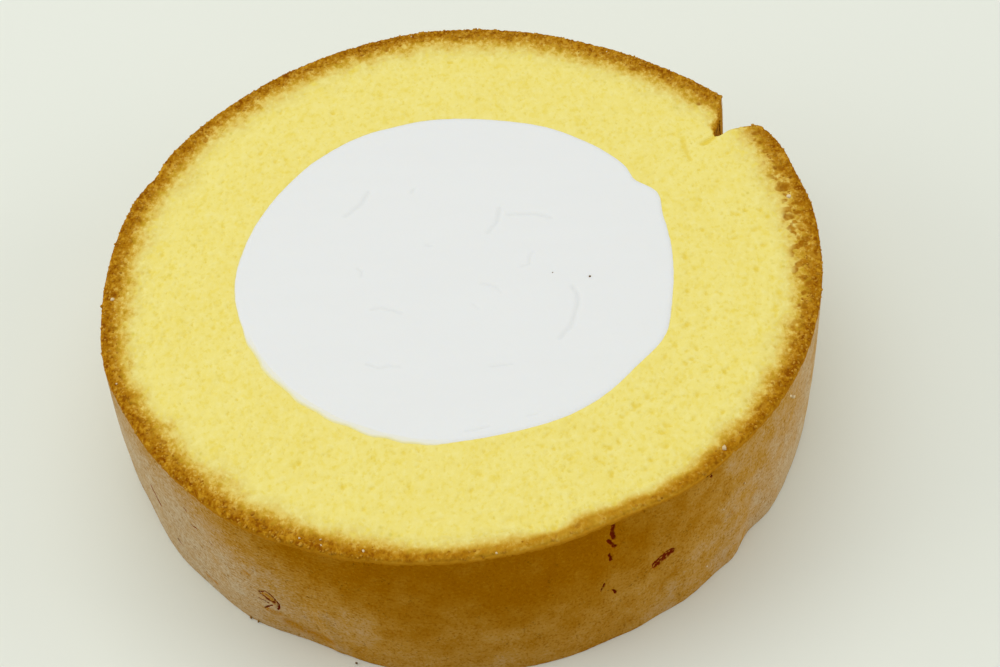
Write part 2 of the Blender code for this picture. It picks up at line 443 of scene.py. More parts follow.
def stroke(points, path, half_width):
    """1 on the line through the path's places, down to 0 at the half width away from it."""
    path = np.asarray(path, dtype=float)
    nearest = np.full(len(points), np.inf)
    for start, stop in zip(path[:-1], path[1:]):
        side = stop - start
        share = np.clip(((points - start) @ side) / max(float(side @ side), 1e-12), 0, 1)
        nearest = np.minimum(nearest, np.linalg.norm(points - start - share[:, None] * side, axis=1))
    return np.clip(1 - nearest / half_width, 0, 1)


# %% [markdown]
# ## Pores
#
# Sponge is a foam, and a knife opens its bubbles. Most are finer than a pinhead, but here and
# there one is as wide as a grain of rice. We sink each bubble into the mesh as a small bowl:
# a search tree finds the points near its middle, and each goes down by a smooth curve. The
# depth is also kept as a mask, because light that bounces about in a bowl comes out yellower.

# %% Sinking pores into a surface


def sink_pores(places, pores):
    """How deep each point sinks, for pores given as (middle, radius, depth, stretch)."""
    tree = kdtree.KDTree(len(places))
    for index, place in enumerate(places):
        tree.insert(place, index)
    tree.balance()
    depth = np.zeros(len(places))
    for middle, radius, deep, stretch in pores:
        length = float(np.linalg.norm(stretch))
        near = [index for _, index, _ in tree.find_range(middle, radius * length)]
        if not near:
            continue
        offset = places[near] - middle
        axis = stretch / length
        offset = offset - np.outer((offset @ axis) * (1 - 1 / length), axis)
        share = np.clip(1 - (offset ** 2).sum(axis=1) / radius ** 2, 0, 1)
        depth[near] = np.maximum(depth[near], deep * share ** 1.4)
    return depth


def scatter_pores(rng, places, chance, count, radii, depth_share):
    """Pores at random places, given each point's chance to be one's middle."""
    picks = rng.choice(len(places), size=count, p=chance / chance.sum())
    pores = []
    for pick in picks:
        radius = rng.uniform(*radii)
        turn = np.pi / 2 + rng.normal(0, 0.6)
        stretch = np.array((np.cos(turn), np.sin(turn), 0)) * rng.uniform(1.1, 1.9)
        pores.append((places[pick], radius, radius * depth_share * rng.uniform(0.6, 1.2), stretch))
    return pores


def point_areas(piece):
    """The surface that each point stands for."""
    areas = np.zeros(len(piece.data.vertices))
    for face in piece.data.polygons:
        share = face.area / len(face.vertices)
        for index in face.vertices:
            areas[index] += share
    return areas


# %% [markdown]
# ## The crumb
#
# The crumb is the body of the sheet. Its slab is 1 along, 1 across and 1 deep. The top is the
# cut face that we look at, so it is cut twice as fine as the underside. The ends are given
# fine faces too, because the notch shows them.
#
# Near the skin the oven made the crumb brown and gritty, and that needs finer points than the
# rest. So the sheet is two pieces. The crumb reaches to 2.4 mm from the skin, the crust
# starts 3.4 mm from it, and where they lie together each dips under the other. They swap at
# one depth, where both have the same height, so no joint shows.

# %% Measures across the sheet
SWAP_DEPTH = 2.9 * MM                 # depth below the skin where crust gives way to crumb
SWAP_REACH = 0.5 * MM                 # how far each piece runs on under the other
SWAP_DIP = 0.35 * MM
END_TUCK = 0.15 * MM
EDGE_ROUND = 0.5 * MM
SKIRT = 1.10 * MM                     # how far the crust's face runs on down behind the skin
SKIRT_INSET = 0.30 * MM
CRUST_PROUD = 0.02 * MM


def sheet_thickness(angle):
    return outer_radius(angle) - cream_radius(angle) + TUCK


def dip_under(distance):
    """How deep a piece dips at a distance from its own border."""
    return SWAP_DIP * (1 - ease(distance / SWAP_REACH))


def place_sheet(along, skin_depth, drop, share, dip):
    """Places for points with a depth below the skin and a drop from the cut face."""
    short = END_TUCK / SHEET_LENGTH * dip / SWAP_DIP
    along = np.clip(along, short, 1 - short)
    across = 1 - skin_depth / sheet_thickness(OUTER_START + along * OUTER_SWEEP)
    low = drop + dip
    height = (SLICE_HEIGHT - low) * (1 - share) + low * share
    places = roll_up(along, across, height, inset=-CRUST_PROUD)
    return {"places": places, "along": along, "across": across, "depth": skin_depth,
            "hang": np.zeros_like(along), "lip": np.zeros_like(along)}


print(f"the crust is {(SWAP_DEPTH + SWAP_REACH) / MM:.1f} mm wide")

# %% [markdown]
# The crumb's two ends touch from the cream to the notch. There we bring both ends to one line,
# take away the faces between them and weld the points, so that the seam is closed.

# %% Roll up the crumb
CRUMB_LONG, CRUMB_CROSS, CRUMB_LAYERS = 452, 36, 8
WELD_ACROSS = 0.69                    # share of the thickness up to which the seam is closed
crumb = add_slab("sponge_crumb", CRUMB_LONG, CRUMB_CROSS, CRUMB_LAYERS)
print(subdivide_where(crumb, top_or_end), "faces cut finer")


def shape_crumb(flat):
    """Carry the slab's points into the roll, from the cream outwards."""
    along = crowd(flat[:, 0], (0, 1), 2.2, 0.010)
    row = np.clip(flat[:, 1], 0, 1)
    widest = sheet_thickness(OUTER_START + along * OUTER_SWEEP)
    margin = SWAP_DEPTH - SWAP_REACH
    skin_depth = widest - row * (1.08 - 0.08 * row) * (widest - margin)
    return place_sheet(along, skin_depth, 0.0, np.clip(-flat[:, 2], 0, 1),
                       dip_under(skin_depth - margin))


def meet_at_seam(flat, sheet):
    """Bring the two ends to one line between the cream and the notch."""
    ends = {}
    for index in np.flatnonzero(slab_end(flat) & (sheet["across"] < WELD_ACROSS)):
        ends.setdefault((round(flat[index, 1], 5), round(flat[index, 2], 5)), []).append(index)
    for pair in ends.values():
        sheet["places"][pair] = sheet["places"][pair].mean(axis=0)
    return sheet["places"]


def weld_seam(piece, in_seam):
    """Take away the faces that lie inside the closed seam and merge its two sides."""
    choose(piece)
    hidden = [all(in_seam[index] for index in face.vertices) for face in piece.data.polygons]
    bpy.ops.object.mode_set(mode="EDIT")
    bpy.ops.mesh.select_mode(type="FACE")
    bpy.ops.mesh.select_all(action="DESELECT")
    bpy.ops.object.mode_set(mode="OBJECT")
    piece.data.polygons.foreach_set("select", hidden)
    bpy.ops.object.mode_set(mode="EDIT")
    bpy.ops.mesh.delete(type="FACE")
    bpy.ops.mesh.select_all(action="SELECT")
    bpy.ops.mesh.remove_doubles(threshold=0.001 * MM)
    bpy.ops.object.mode_set(mode="OBJECT")
    return sum(hidden)


crumb_flat = read(crumb.data.vertices, "co", 3)
crumb_sheet = shape_crumb(crumb_flat)
set_places(crumb, meet_at_seam(crumb_flat, crumb_sheet))
add_vectors(crumb, "flat", crumb_flat)
print(weld_seam(crumb, slab_end(crumb_flat) & (crumb_sheet["across"] < WELD_ACROSS)),
      "faces taken out of the seam")
flat_layer = crumb.data.attributes["flat"]
crumb_flat = read(flat_layer.data, "vector", 3)
crumb.data.attributes.remove(flat_layer)
crumb_sheet = shape_crumb(crumb_flat)
crumb_sheet["places"] = read(crumb.data.vertices, "co", 3)
crumb_sheet["normals"] = face_outwards(crumb)
crumb_sheet["open"] = slab_end(crumb_flat) & (crumb_sheet["across"] > WELD_ACROSS)

# %% [markdown]
# The crust's slab is narrow and its top is cut finer twice. Across it a point travels over
# the flat face, round the rim by a quarter turn, and then down and inwards behind the skin.
# So the crust closes over the skin's upper edge, and the skin seems to grow out of it. Two
# masks say where the crust hangs over the skin, and where it ends as a lip.

# %% Roll up the crust
CRUST_LONG, CRUST_CROSS, CRUST_LAYERS = 448, 10, 5
HANG_START = 0.4                      # share of the round edge where the crust starts to hang
LIP_STOP = 0.9                        # share of the hanging crust where its lip is reached
crust = add_slab("toasted_crust", CRUST_LONG, CRUST_CROSS, CRUST_LAYERS)
for _ in range(2):
    subdivide_where(crust, top_or_end)


def hang(along):
    """How far below the rounded edge the crust still hangs over the skin: most at the front."""
    angle = OUTER_START + along * OUTER_SWEEP
    ring = np.column_stack((polar(np.full_like(angle, ROLL_RADIUS), angle), np.zeros_like(angle)))
    lobes = 0.10 * grain(ring, 1.5 * MM, 6) + 0.07 * grain(ring, 0.5 * MM, 7)
    return (0.20 + 0.16 * bell(angle, -75, 35) + lobes).clip(0.12, 0.8) * MM


def shape_crust(flat):
    """Carry the slab's points into the roll, from the crumb out to the skin and over the rim."""
    along = crowd(flat[:, 0], (0, 1), 2.2, 0.010)
    width = SWAP_DEPTH + SWAP_REACH
    level = width - EDGE_ROUND
    arc = EDGE_ROUND * np.pi / 2
    travel = np.clip(flat[:, 1], 0, 1) * (level + arc + SKIRT)
    turn = np.clip((travel - level) / EDGE_ROUND, 0, np.pi / 2)
    below = np.clip(travel - level - arc, 0, None)
    skin_depth = np.where(travel < level, width - travel, EDGE_ROUND * (1 - np.sin(turn)))
    share = np.clip(-flat[:, 2], 0, 1)
    skin_depth = skin_depth + SKIRT_INSET * np.maximum(ease(below, hang(along), SKIRT), share * turn)
    drop = EDGE_ROUND * (1 - np.cos(turn)) + below
    sheet = place_sheet(along, skin_depth, drop, share, dip_under(travel))
    sheet["hang"] = ease(drop, HANG_START * EDGE_ROUND, EDGE_ROUND)
    sheet["lip"] = ease(below, 0.0, LIP_STOP * hang(along))
    return sheet


crust_flat = read(crust.data.vertices, "co", 3)
crust_sheet = shape_crust(crust_flat)
set_places(crust, crust_sheet["places"])
crust_sheet["normals"] = face_outwards(crust)
crust_sheet["open"] = slab_end(crust_flat)
for piece, sheet in ((crumb, crumb_sheet), (crust, crust_sheet)):
    sheet["angle"] = OUTER_START + sheet["along"] * OUTER_SWEEP
    sheet["top"] = sheet["normals"][:, 2] > 0.35
    print(piece.name, "has", len(sheet["places"]), "points,", int(sheet["top"].sum()), "of them on top")

# %% [markdown]
# ### Browning
#
# The oven browned the sheet from the outside, and the browning fades inwards. How wide the
# brown band is changes round the roll: narrower at the front, wider on the right, with small
# lobes everywhere. We store each point's distance from the skin in local band widths, so that
# a material has one number to read. The outer part of the left end browned too.

# %% Browning masks
BAND_WIDTH = 2.1 * MM
END_BAND = 0.80 * MM                  # band width on the left end
PAST_BAND = 8 * MM                    # a distance that no band reaches


def browning(sheet):
    """Each point's distance from the skin or the left end, in band widths."""
    angle, places = sheet["angle"], sheet["places"]
    lobes = grain(places, 3.0 * MM, 4)
    band = BAND_WIDTH * (1.0 - 0.57 * bell(angle, -72, 38) - 0.24 * bell(angle, -157, 14)
                         + 0.10 * bell(angle, 10, 22) - 0.25 * bell(angle, 29, 4)
                         + 0.22 * lobes)
    inner_part = 1 - ease(sheet["across"], 0.58, 0.70)
    end_depth = sheet["along"] * SHEET_LENGTH + inner_part * PAST_BAND
    return np.minimum(sheet["depth"] / band, end_depth / END_BAND)


for piece, sheet in ((crumb, crumb_sheet), (crust, crust_sheet)):
    sheet["toast"] = browning(sheet)
    add_mask(piece, "toast", sheet["toast"])
    add_mask(piece, "patchy", bell(sheet["angle"], 2, 21))
    add_mask(piece, "soft", bell(sheet["angle"], -76, 33))
    add_mask(piece, "hang", sheet["hang"])
    add_mask(piece, "lip", sheet["lip"])
print(f"{100 * (crust_sheet['toast'] < 1).mean():.0f}% of the crust's points lie in the band")

# %% [markdown]
# ### Opening the bubbles
#
# The places of most pores are drawn at random, with a fixed seed so that each run gives the
# same cake. The same list of pores is sunk into crumb and crust, so that a pore on the line
# where they swap stays whole. A few are listed one by one: a groove where the notch ends, a
# hook beyond it and some large bubbles. Brown cells are bubbles just under the skin with
# toasted walls, most of them on the right.

# %% Where the bubbles are
ROUND_HOLE = np.array((1.0, 0.0, 0.0))    # the stretch of a pore that isn't stretched
HOOK = ((34.9, 33.2), (34.4, 31.6), (34.0, 29.8), (33.7, 27.9))
GROOVE = ((41.2, 31.2), (39.4, 30.6), (37.9, 30.4), (36.6, 30.2))
PLACED_PORES = (                      # radius from the middle in mm, degrees, size in mm
    (38.3, 25.4, 0.45), (39.3, 50, 0.45), (32.7, 62.9, 0.35), (37.0, -0.1, 0.55),
    (35.9, -52.5, 0.55), (37.7, -54.3, 0.5), (34.0, -62.5, 0.55), (35.1, -65.9, 0.45),
    (33.2, -70.5, 0.5), (31.0, -50.9, 0.5), (31.2, -52.6, 0.4))
BROWN_CELLS = ((42.6, 17.8, 0.75), (41.6, 13.3, 0.90), (40.9, 6.1, 0.80), (43.0, 10.6, 0.7),
               (41.4, 54.3, 0.6), (41.8, 46.9, 0.6), (43.6, -148, 0.6), (44.3, -127, 0.6),
               (42.3, 0.5, 0.7), (43.1, -3.2, 0.75), (42.6, 22.5, 0.6), (42.0, 6.9, 0.5),
               (42.2, -9.5, 0.5), (41.3, 38.9, 0.5), (41.6, -12.0, 0.4), (43.2, 27.0, 0.6))


def on_cut_face(radius, degrees):
    """A place on the upper cut face, from millimetres and degrees."""
    plan = degrees_point(radius * MM, degrees) + ROLL_SHIFT
    return np.array((*plan, SLICE_HEIGHT))


def groove(corners, half_width, deep):
    """A row of shallow round pores that run together to a groove."""
    steps = np.linspace(0, len(corners) - 1, 4 * len(corners))
    places = [np.interp(steps, range(len(corners)), values) for values in zip(*corners)]
    return [(on_cut_face(radius, degrees), half_width, deep, ROUND_HOLE)
            for radius, degrees in zip(*places)]


rng = np.random.default_rng(20)
both_places = np.concatenate((crumb_sheet["places"], crust_sheet["places"]))
both_areas = np.concatenate((point_areas(crumb), point_areas(crust)))
both = {name: np.concatenate((crumb_sheet[name], crust_sheet[name]))
        for name in ("toast", "angle", "open", "top", "across")}
chance = both_areas * (both["top"] | both["open"]) * ease(both["across"], 0.05, 0.09)
coarse = chance * (0.16 + bell(both["angle"], -42, 50)) * (both["toast"] > 1.6)
pores = scatter_pores(rng, both_places, coarse, 460, (0.24 * MM, 0.48 * MM), 0.42)
pores += scatter_pores(rng, both_places, chance, 8500, (0.16 * MM, 0.28 * MM), 0.55)
pores += [(on_cut_face(radius, degrees), size * MM, size * MM * 0.40, ROUND_HOLE * 1.2)
          for radius, degrees, size in PLACED_PORES]
pores += groove(HOOK, 0.50 * MM, 0.19 * MM) + groove(GROOVE, 0.55 * MM, 0.26 * MM)
pits = scatter_pores(rng, both_places, chance * (both["toast"] < 1.25), 6500,
                     (0.12 * MM, 0.27 * MM), 0.55)
cells = [(on_cut_face(radius, degrees), size * MM, size * MM * 0.34, ROUND_HOLE * 1.3)
         for radius, degrees, size in BROWN_CELLS]
in_band = (both["toast"] > 0.3) & (both["toast"] < 1.3)
cells += scatter_pores(rng, both_places, chance * in_band * (0.10 + bell(both["angle"], 0, 28)), 90,
                       (0.25 * MM, 0.50 * MM), 0.5)
print(len(pores), "pores,", len(pits), "pits and", len(cells), "brown cells")

# %% [markdown]
# Besides its bubbles the cut face has relief of its own: slow swells from the knife, a fine
# grain, and a much rougher grit in the band. Under the cream's thin film the face is calmer.

# %% Sink the bubbles
FILM_START, FILM_STOP = -166, -90     # degrees between which the cream's film lies
FILM_REACH = 0.42 * MM
PORE_DEPTH = 0.24 * MM                # depth at which a pore has its full colour
CELL_DEPTH = 0.20 * MM


def film_window(angle):
    """1 where the film lies, fading at both of its ends."""
    middle = (FILM_START + FILM_STOP) / 2
    half = math.radians(FILM_STOP - FILM_START) / 2
    return 1 - ease(np.abs(turn_between(angle, middle)) / half, 0.72, 1.0)


def open_bubbles(piece, sheet):
    """Sink pores, pits and cells into a piece, add its relief and store the masks."""
    places, normals = sheet["places"], sheet["normals"]
    bubbly = warped(warped(places, 1.1 * MM, 0.22 * MM, 6), 0.5 * MM, 0.10 * MM, 5)
    pore_depth = sink_pores(bubbly, pores)
    pit_depth = sink_pores(bubbly, pits)
    cell_depth = sink_pores(bubbly, cells)
    gritty = ease(1.6 - sheet["toast"])
    from_cream = sheet["across"] * sheet_thickness(sheet["angle"])
    filmed = film_window(sheet["angle"])
    calm = ease(from_cream / (0.9 * MM + filmed * 1.2 * MM))
    relief = (0.08 * grain(places, 7 * MM, 2) + 0.035 * calm * grain(places, 1.3 * MM, 1)
              + (0.03 * calm + 0.03 * gritty) * grain(places, 0.55 * MM, 3)
              + 0.055 * gritty * grain(places, 0.30 * MM, 15)) * MM
    tuck_dip = 0.16 * MM * (1 - ease(from_cream / (0.85 * MM)))
    tuck_dip += 0.07 * MM * filmed * (1 - ease(from_cream, 1.2 * MM, 2.2 * MM))
    sink = np.maximum(np.maximum(pore_depth, cell_depth), pit_depth) * calm + tuck_dip - relief
    moved = places - normals * sink[:, None]
    moved[:, 2] = np.clip(moved[:, 2], 0.0, None)
    set_places(piece, moved)
    sheet["places"] = moved
    add_mask(piece, "pore", np.clip(np.maximum(pore_depth, 0.9 * pit_depth) / PORE_DEPTH, 0, 1))
    add_mask(piece, "cell", np.clip(cell_depth / CELL_DEPTH, 0, 1))
    return float(sink.max())


for piece, sheet in ((crumb, crumb_sheet), (crust, crust_sheet)):
    print(piece.name, "sinks up to", round(open_bubbles(piece, sheet) / MM, 2), "mm")

# %% [markdown]
# ## The browned skin
#
# The outside of the sheet lay against the paper in the oven. It is a thin, smooth, leathery
# skin. It covers the whole outside, turns round the left lip and runs a few millimetres down
# that end. The skin could be painted on the crumb, but as a piece of its own it has a real
# thickness, a ragged rim at the cut face and tears that go in.
#
# Its slab has x along the skin, y up the wall and z through its thickness.

# %% Where the skin runs
SKIN_THICKNESS = 0.42 * MM
LEFT_FLAP = 3.9 * MM
RIGHT_FLAP = 0.5 * MM
CORNER_SOFTNESS = 0.30 * MM


def sheet_edge():
    """Stations along the skin, as sheet places and running length."""
    end_length = float(np.linalg.norm(LEFT_LINE(1.0) - LEFT_LINE(0.75))) / 0.25
    flap = np.linspace(1 - LEFT_FLAP / end_length, 1, 60)[:-1]
    outside = np.linspace(0, 1, 6000)
    tip = np.linspace(1, 1 - RIGHT_FLAP / end_length, 10)[1:]
    along = np.concatenate((np.zeros_like(flap), outside, np.ones_like(tip)))
    across = np.concatenate((flap, np.ones_like(outside), tip))
    plan = roll_up(along, across, np.full_like(along, SLICE_HEIGHT))[:, :2]
    steps = np.linalg.norm(np.diff(plan, axis=0), axis=1)
    return along, across, np.concatenate(([0], np.cumsum(steps)))


EDGE_ALONG, EDGE_ACROSS, EDGE_RUN = sheet_edge()
SKIN_RUN = float(EDGE_RUN[-1])


def skin_line(run, height):
    """Plan places at running lengths along the skin, with its corners softened."""
    total = np.zeros((len(run), 2))
    steps = (-1, -0.5, 0, 0.5, 1)
    for step in steps:
        at = np.clip(run + step * CORNER_SOFTNESS, 0, SKIN_RUN)
        total += roll_up(np.interp(at, EDGE_RUN, EDGE_ALONG), np.interp(at, EDGE_RUN, EDGE_ACROSS),
                         height)[:, :2]
    return total / len(steps)


def skin_frame(run, height):
    """Plan places along the skin and the directions outwards from it."""
    step = 0.1 * MM
    ahead = skin_line(np.clip(run + step, 0, SKIN_RUN), height)
    behind = skin_line(np.clip(run - step, 0, SKIN_RUN), height)
    forward = ahead - behind
    forward /= np.maximum(np.linalg.norm(forward, axis=1, keepdims=True), 1e-9)
    return skin_line(run, height), np.stack((forward[:, 1], -forward[:, 0]), axis=1)


print(f"the skin is {SKIN_RUN / MM:.0f} mm long and {SKIN_THICKNESS / MM:.2f} mm thick")

# %% [markdown]
# ### Marks on the skin
#
# Baking and handling leave marks. We describe each as a stroke on the unrolled wall, in
# degrees round the roll and millimetres up. Tears go through the skin to red-brown crumb,
# scuffs are rubbed golden, and a flake has come loose. One pleat runs up from the base. Near
# the tears the slab is cut finer, so that they get crisp edges.

# %% Strokes on the wall
TEARS = (                             # ((degrees, height in mm), ...), half width in mm
    (((-69.1, 21.3), (-69.3, 20.4), (-69.5, 19.6), (-69.3, 18.5)), 0.29),
    (((-70.2, 18.4), (-69.8, 17.8), (-69.2, 17.0)), 0.25),
    (((-70.2, 16.1), (-69.9, 15.0)), 0.20),
    (((-62.5, 10.7), (-61.5, 11.2), (-60.9, 11.4), (-59.8, 11.8)), 0.62),
    (((-71.3, 11.3), (-71.8, 10.4)), 0.16), (((-69.8, 9.5), (-69.4, 8.8)), 0.17),
    (((-149.7, 11.6), (-148.1, 10.6), (-147.6, 10.0)), 0.36),
    (((-144.5, 5.3), (-144.0, 4.9)), 0.26), (((-137.7, 13.5), (-136.4, 13.8)), 0.14),
    (((-138.5, 16.2), (-138.0, 15.9)), 0.13), (((-133.5, 13.2), (-132.9, 13.0)), 0.13),
    (((-137.5, 22.0), (-137.6, 21.2)), 0.16), (((-52.3, 21.0), (-51.7, 20.3)), 0.16),
    # the outline and the folds of a flake
    (((-125.1, 8.3), (-123.9, 9.0), (-123.2, 8.7), (-122.5, 7.7)), 0.13),
    (((-122.6, 7.6), (-122.1, 6.9), (-122.3, 6.1), (-122.7, 5.6)), 0.14),
    (((-125.0, 7.9), (-123.9, 7.6), (-122.8, 7.1)), 0.12), (((-125.5, 6.8), (-124.0, 6.5)), 0.11),
    (((-125.0, 4.8), (-123.4, 6.2)), 0.12))
SCUFFS = (
    (((-59.1, 7.1), (-60.5, 6.9), (-61.4, 6.0), (-61.5, 5.0)), 0.45),
    (((-62.4, 10.0), (-62.0, 9.6)), 0.40), (((-50.5, 11.4), (-49.4, 10.2)), 0.30),
    (((-126.9, 11.6), (-126.2, 11.4)), 0.40), (((-138.4, 2.5), (-135.9, 2.6)), 0.55),
    (((-124.8, 8.2), (-123.7, 8.2), (-122.8, 7.2)), 0.55), (((-134.9, 20.9), (-134.0, 21.1)), 0.5),
    (((-121.5, 3.2), (-118.5, 2.4), (-114.5, 2.2)), 1.30), (((-124.6, 4.6), (-122.6, 4.6)), 0.7),
    (((-47.0, 10.6), (-46.4, 9.8)), 0.35))
FLAKE = ((-125.0, 7.2), (-123.2, 7.4), (-122.8, 6.4))
PLEAT = ((-115.0, 7.8), (-114.2, 4.5), (-113.3, 1.0))


def on_wall(path):
    """A path of (degrees, height in mm) as places on the unrolled wall, in metres."""
    return [(math.radians(degrees) * ROLL_RADIUS, height * MM) for degrees, height in path]


print(len(TEARS), "tears and", len(SCUFFS), "scuffs")

# %% [markdown]
# The slab is added, cut finer on its outer face, and finer again round the tears. Then each
# point finds its place: first its height, going round the rim at the top and at the base,
# then its place along the skin, then outwards or inwards from there.

# %% Roll up the skin
SKIN_LONG, SKIN_HIGH = 440, 34
RIM_ROUND = 0.10 * MM
skin = add_slab("browned_skin", SKIN_LONG, SKIN_HIGH, 1)


def skin_runs(flat):
    corner = LEFT_FLAP / SKIN_RUN
    return crowd(flat[:, 0], (0, corner, 1), 1.6, 0.010) * SKIN_RUN


def wall_angle(run):
    """The angle round the roll at a running length, where the skin lies on the outside."""
    along = np.interp(run, EDGE_RUN, EDGE_ALONG)
    return (OUTER_START + along * OUTER_SWEEP + np.pi) % (2 * np.pi) - np.pi


def round_rims(share, length, radius):
    """Height and inset of a point that goes round both rims of a wall."""
    travel = crowd(share, (0, 1), 2.5, 0.012) * (length - 2 * radius + np.pi * radius)
    quarter = np.pi * radius / 2
    lower = np.clip(travel / radius, 0, np.pi / 2)
    upper = np.clip((travel - quarter - (length - 2 * radius)) / radius, 0, np.pi / 2)
    straight = np.clip(travel - quarter, 0, length - 2 * radius)
    height = radius * (1 - np.cos(lower)) + straight + radius * np.sin(upper)
    return height, radius * (1 - np.sin(lower)) + radius * (1 - np.cos(upper))


def near_tears(middle):
    """Faces of the outer side that lie close to a tear or the flake."""
    angle = wall_angle(skin_runs(middle))
    height, _ = round_rims(np.clip(middle[:, 1], 0, 1), SLICE_HEIGHT, RIM_ROUND)
    places = np.stack((angle * ROLL_RADIUS, height), axis=1)
    close = np.zeros(len(middle))
    for path, _ in TEARS:
        close = np.maximum(close, stroke(places, on_wall(path), 0.7 * MM))
    return (close > 0) & on_top(middle)


cut_once = subdivide_where(skin, on_top)
cut_twice = subdivide_where(skin, near_tears)
cut_thrice = subdivide_where(skin, near_tears)
print(cut_once, "faces cut finer, then", cut_twice, "and", cut_thrice)

# %% [markdown]
# The skin's upper edge stays half a millimetre below the cut face, behind the crust's lip.
# It has a deep nick at the front right and a shallow one at the back left.

# %% Heights of the skin
skin_flat = read(skin.data.vertices, "co", 3)
skin_run = skin_runs(skin_flat)
skin_angle = wall_angle(skin_run)
wall_height, rim_inset = round_rims(np.clip(skin_flat[:, 1], 0, 1), SLICE_HEIGHT, RIM_ROUND)
unrolled = np.stack((skin_angle * ROLL_RADIUS, wall_height), axis=1)
ring = polar(np.full_like(skin_angle, ROLL_RADIUS), skin_angle)
rim_places = np.concatenate((ring, np.zeros((len(ring), 1))), axis=1)
rim_drop = (0.56 + 0.04 * grain(rim_places, 1.9 * MM, 6)
            + 0.90 * bell(skin_angle, -52.3, 0.8) + 0.35 * bell(skin_angle, 152.5, 1.5)) * MM
base_lift = np.clip(0.02 * grain(rim_places, 3.1 * MM, 8), 0, None) * MM
top_share = ease(wall_height / SLICE_HEIGHT, 0.94, 1.0)
base_share = 1 - ease(wall_height / SLICE_HEIGHT, 0.0, 0.08)
skin_height = wall_height - rim_drop.clip(0.02 * MM, None) * top_share + base_lift * base_share
skin_plan, skin_out = skin_frame(skin_run, skin_height)
print(f"the skin ends {rim_drop.min() / MM:.2f} to {rim_drop.max() / MM:.2f} mm below the cut face")

# %% [markdown]
# Each stroke becomes a mask. Noise pushes the points about before the distance is measured,
# so that tears and scuffs get ragged outlines.

# %% Strokes as masks


def strongest(points, strokes, widen=1.0):
    """The nearest stroke's mask for each point, for strokes given as (path, half width)."""
    value = np.zeros(len(points))
    for path, half_width in strokes:
        value = np.maximum(value, stroke(points, on_wall(path), widen * half_width * MM))
    return value


wall_sheet = np.column_stack((unrolled, skin_flat[:, 2] * MM))
ragged = warped(warped(wall_sheet, 0.6 * MM, 0.12 * MM, 9), 0.25 * MM, 0.09 * MM, 17)[:, :2]
tear = ease(strongest(ragged, TEARS, 1.25), 0.10, 0.60)
scuff = strongest(ragged, SCUFFS)
flake = stroke(unrolled, on_wall(FLAKE), 0.5 * MM)
pleat = stroke(unrolled, on_wall(PLEAT), 1.6 * MM)
print(int((tear > 0.5).sum()), "points in tears and", int((scuff > 0.5).sum()), "in scuffs")

# %% [markdown]
# Wrinkles and wear move the outer side in and out by hundredths of a millimetre. Tears go in,
# the flake and the pleat stand out. Where the skin has turned round the left lip, it stops
# with a ragged edge.

# %% Push the skin out and in
wall_points = np.column_stack((skin_plan, skin_height))
wrinkle = (0.06 * grain(wall_points, 5.0 * MM, 10) + 0.025 * grain(wall_points, 1.4 * MM, 11)) * MM
fine_wear = 0.018 * MM * grain(wall_points * (1, 1, 1.6), 0.55 * MM, 12)
pushed = (wrinkle + fine_wear - 0.18 * MM * tear - 0.05 * MM * ease(scuff)
          + 0.14 * MM * ease(flake) + 0.22 * MM * ease(pleat)) * ease(1 - top_share, 0.0, 0.5)
flap_end = ease(skin_run + 0.5 * MM * grain(wall_points, 1.8 * MM, 13), 0.1 * MM, 0.9 * MM)
proud = (0.12 * MM * (1 - ease(skin_run, LEFT_FLAP, LEFT_FLAP + 1.5 * MM))
         + 0.05 * MM * ease(skin_run, SKIN_RUN - 1.2 * MM, SKIN_RUN - 0.4 * MM))
proud = proud * flap_end - 0.12 * MM * (1 - flap_end)
on_face = 1 + np.clip(skin_flat[:, 2], -1, 0)
rim_tuck = 0.05 * MM * ease(wall_height / SLICE_HEIGHT, 0.955, 0.985)
outwards = (pushed + proud - rim_tuck) - rim_inset * on_face - SKIN_THICKNESS * (1 - on_face)
skin_places = np.column_stack((skin_plan + skin_out * outwards[:, None], skin_height))
skin_places[:, 2] = np.clip(skin_places[:, 2], 0.0, None)
set_places(skin, skin_places)
skin_normals = face_outwards(skin)
outer_side = on_face > 0.99
facing = (skin_normals[outer_side, :2] * skin_out[outer_side]).sum(axis=1)
print("skin faces out:", bool(facing.mean() > 0))

# %% [markdown]
# The skin's material needs to know the unrolled place of each point, so that fine lines can
# follow the wall, and where the marks are. One more mask holds painted sheen. At the front,
# just under the cut face, the skin is deep golden. Towards both sides and the base it is
# painted paler and greyer, most of all on the left: a painted reflection of the bright room
# and floor at grazing angles. Its slow clouds are the skin's own uneven browning. The left
# side is also painted darker, as painted shade.

# %% Masks of the skin
DEEPEST = -88                          # degrees where the skin is most golden
from_golden = turn_between(skin_angle, DEEPEST)
left_side = ease(-from_golden, 0, math.radians(52))
left_foot = ease(-from_golden, math.radians(10), math.radians(62))
left_top = ease(-from_golden, math.radians(22), math.radians(62))
right_foot = ease(from_golden, math.radians(12), math.radians(78))
right_top = np.clip(0.83 * (from_golden - math.radians(18)), -0.05, 0.9)
# Painted sheen: paler and greyer at the foot and towards the sides, deep golden at the front top.
sheen_foot = 0.30 + 0.65 * left_foot + 0.60 * right_foot
sheen_top = 0.70 * left_top + np.where(from_golden > 0, right_top, 0)
climb = ease(wall_height, (1 + 11 * left_side) * MM, (19.5 + 1.5 * left_side) * MM)
sheen_and_mottle = sheen_foot + (sheen_top - sheen_foot) * climb
wall_ring = rim_places + np.array((0, 0, 1)) * wall_height[:, None]
# Slow clouds: the skin's own uneven browning.
sheen_and_mottle += 0.11 * grain(wall_ring, 5.0 * MM, 14) + 0.09 * grain(wall_ring, 2.0 * MM, 16)
add_mask(skin, "sheen_and_mottle", sheen_and_mottle)
add_mask(skin, "streaky", left_side)
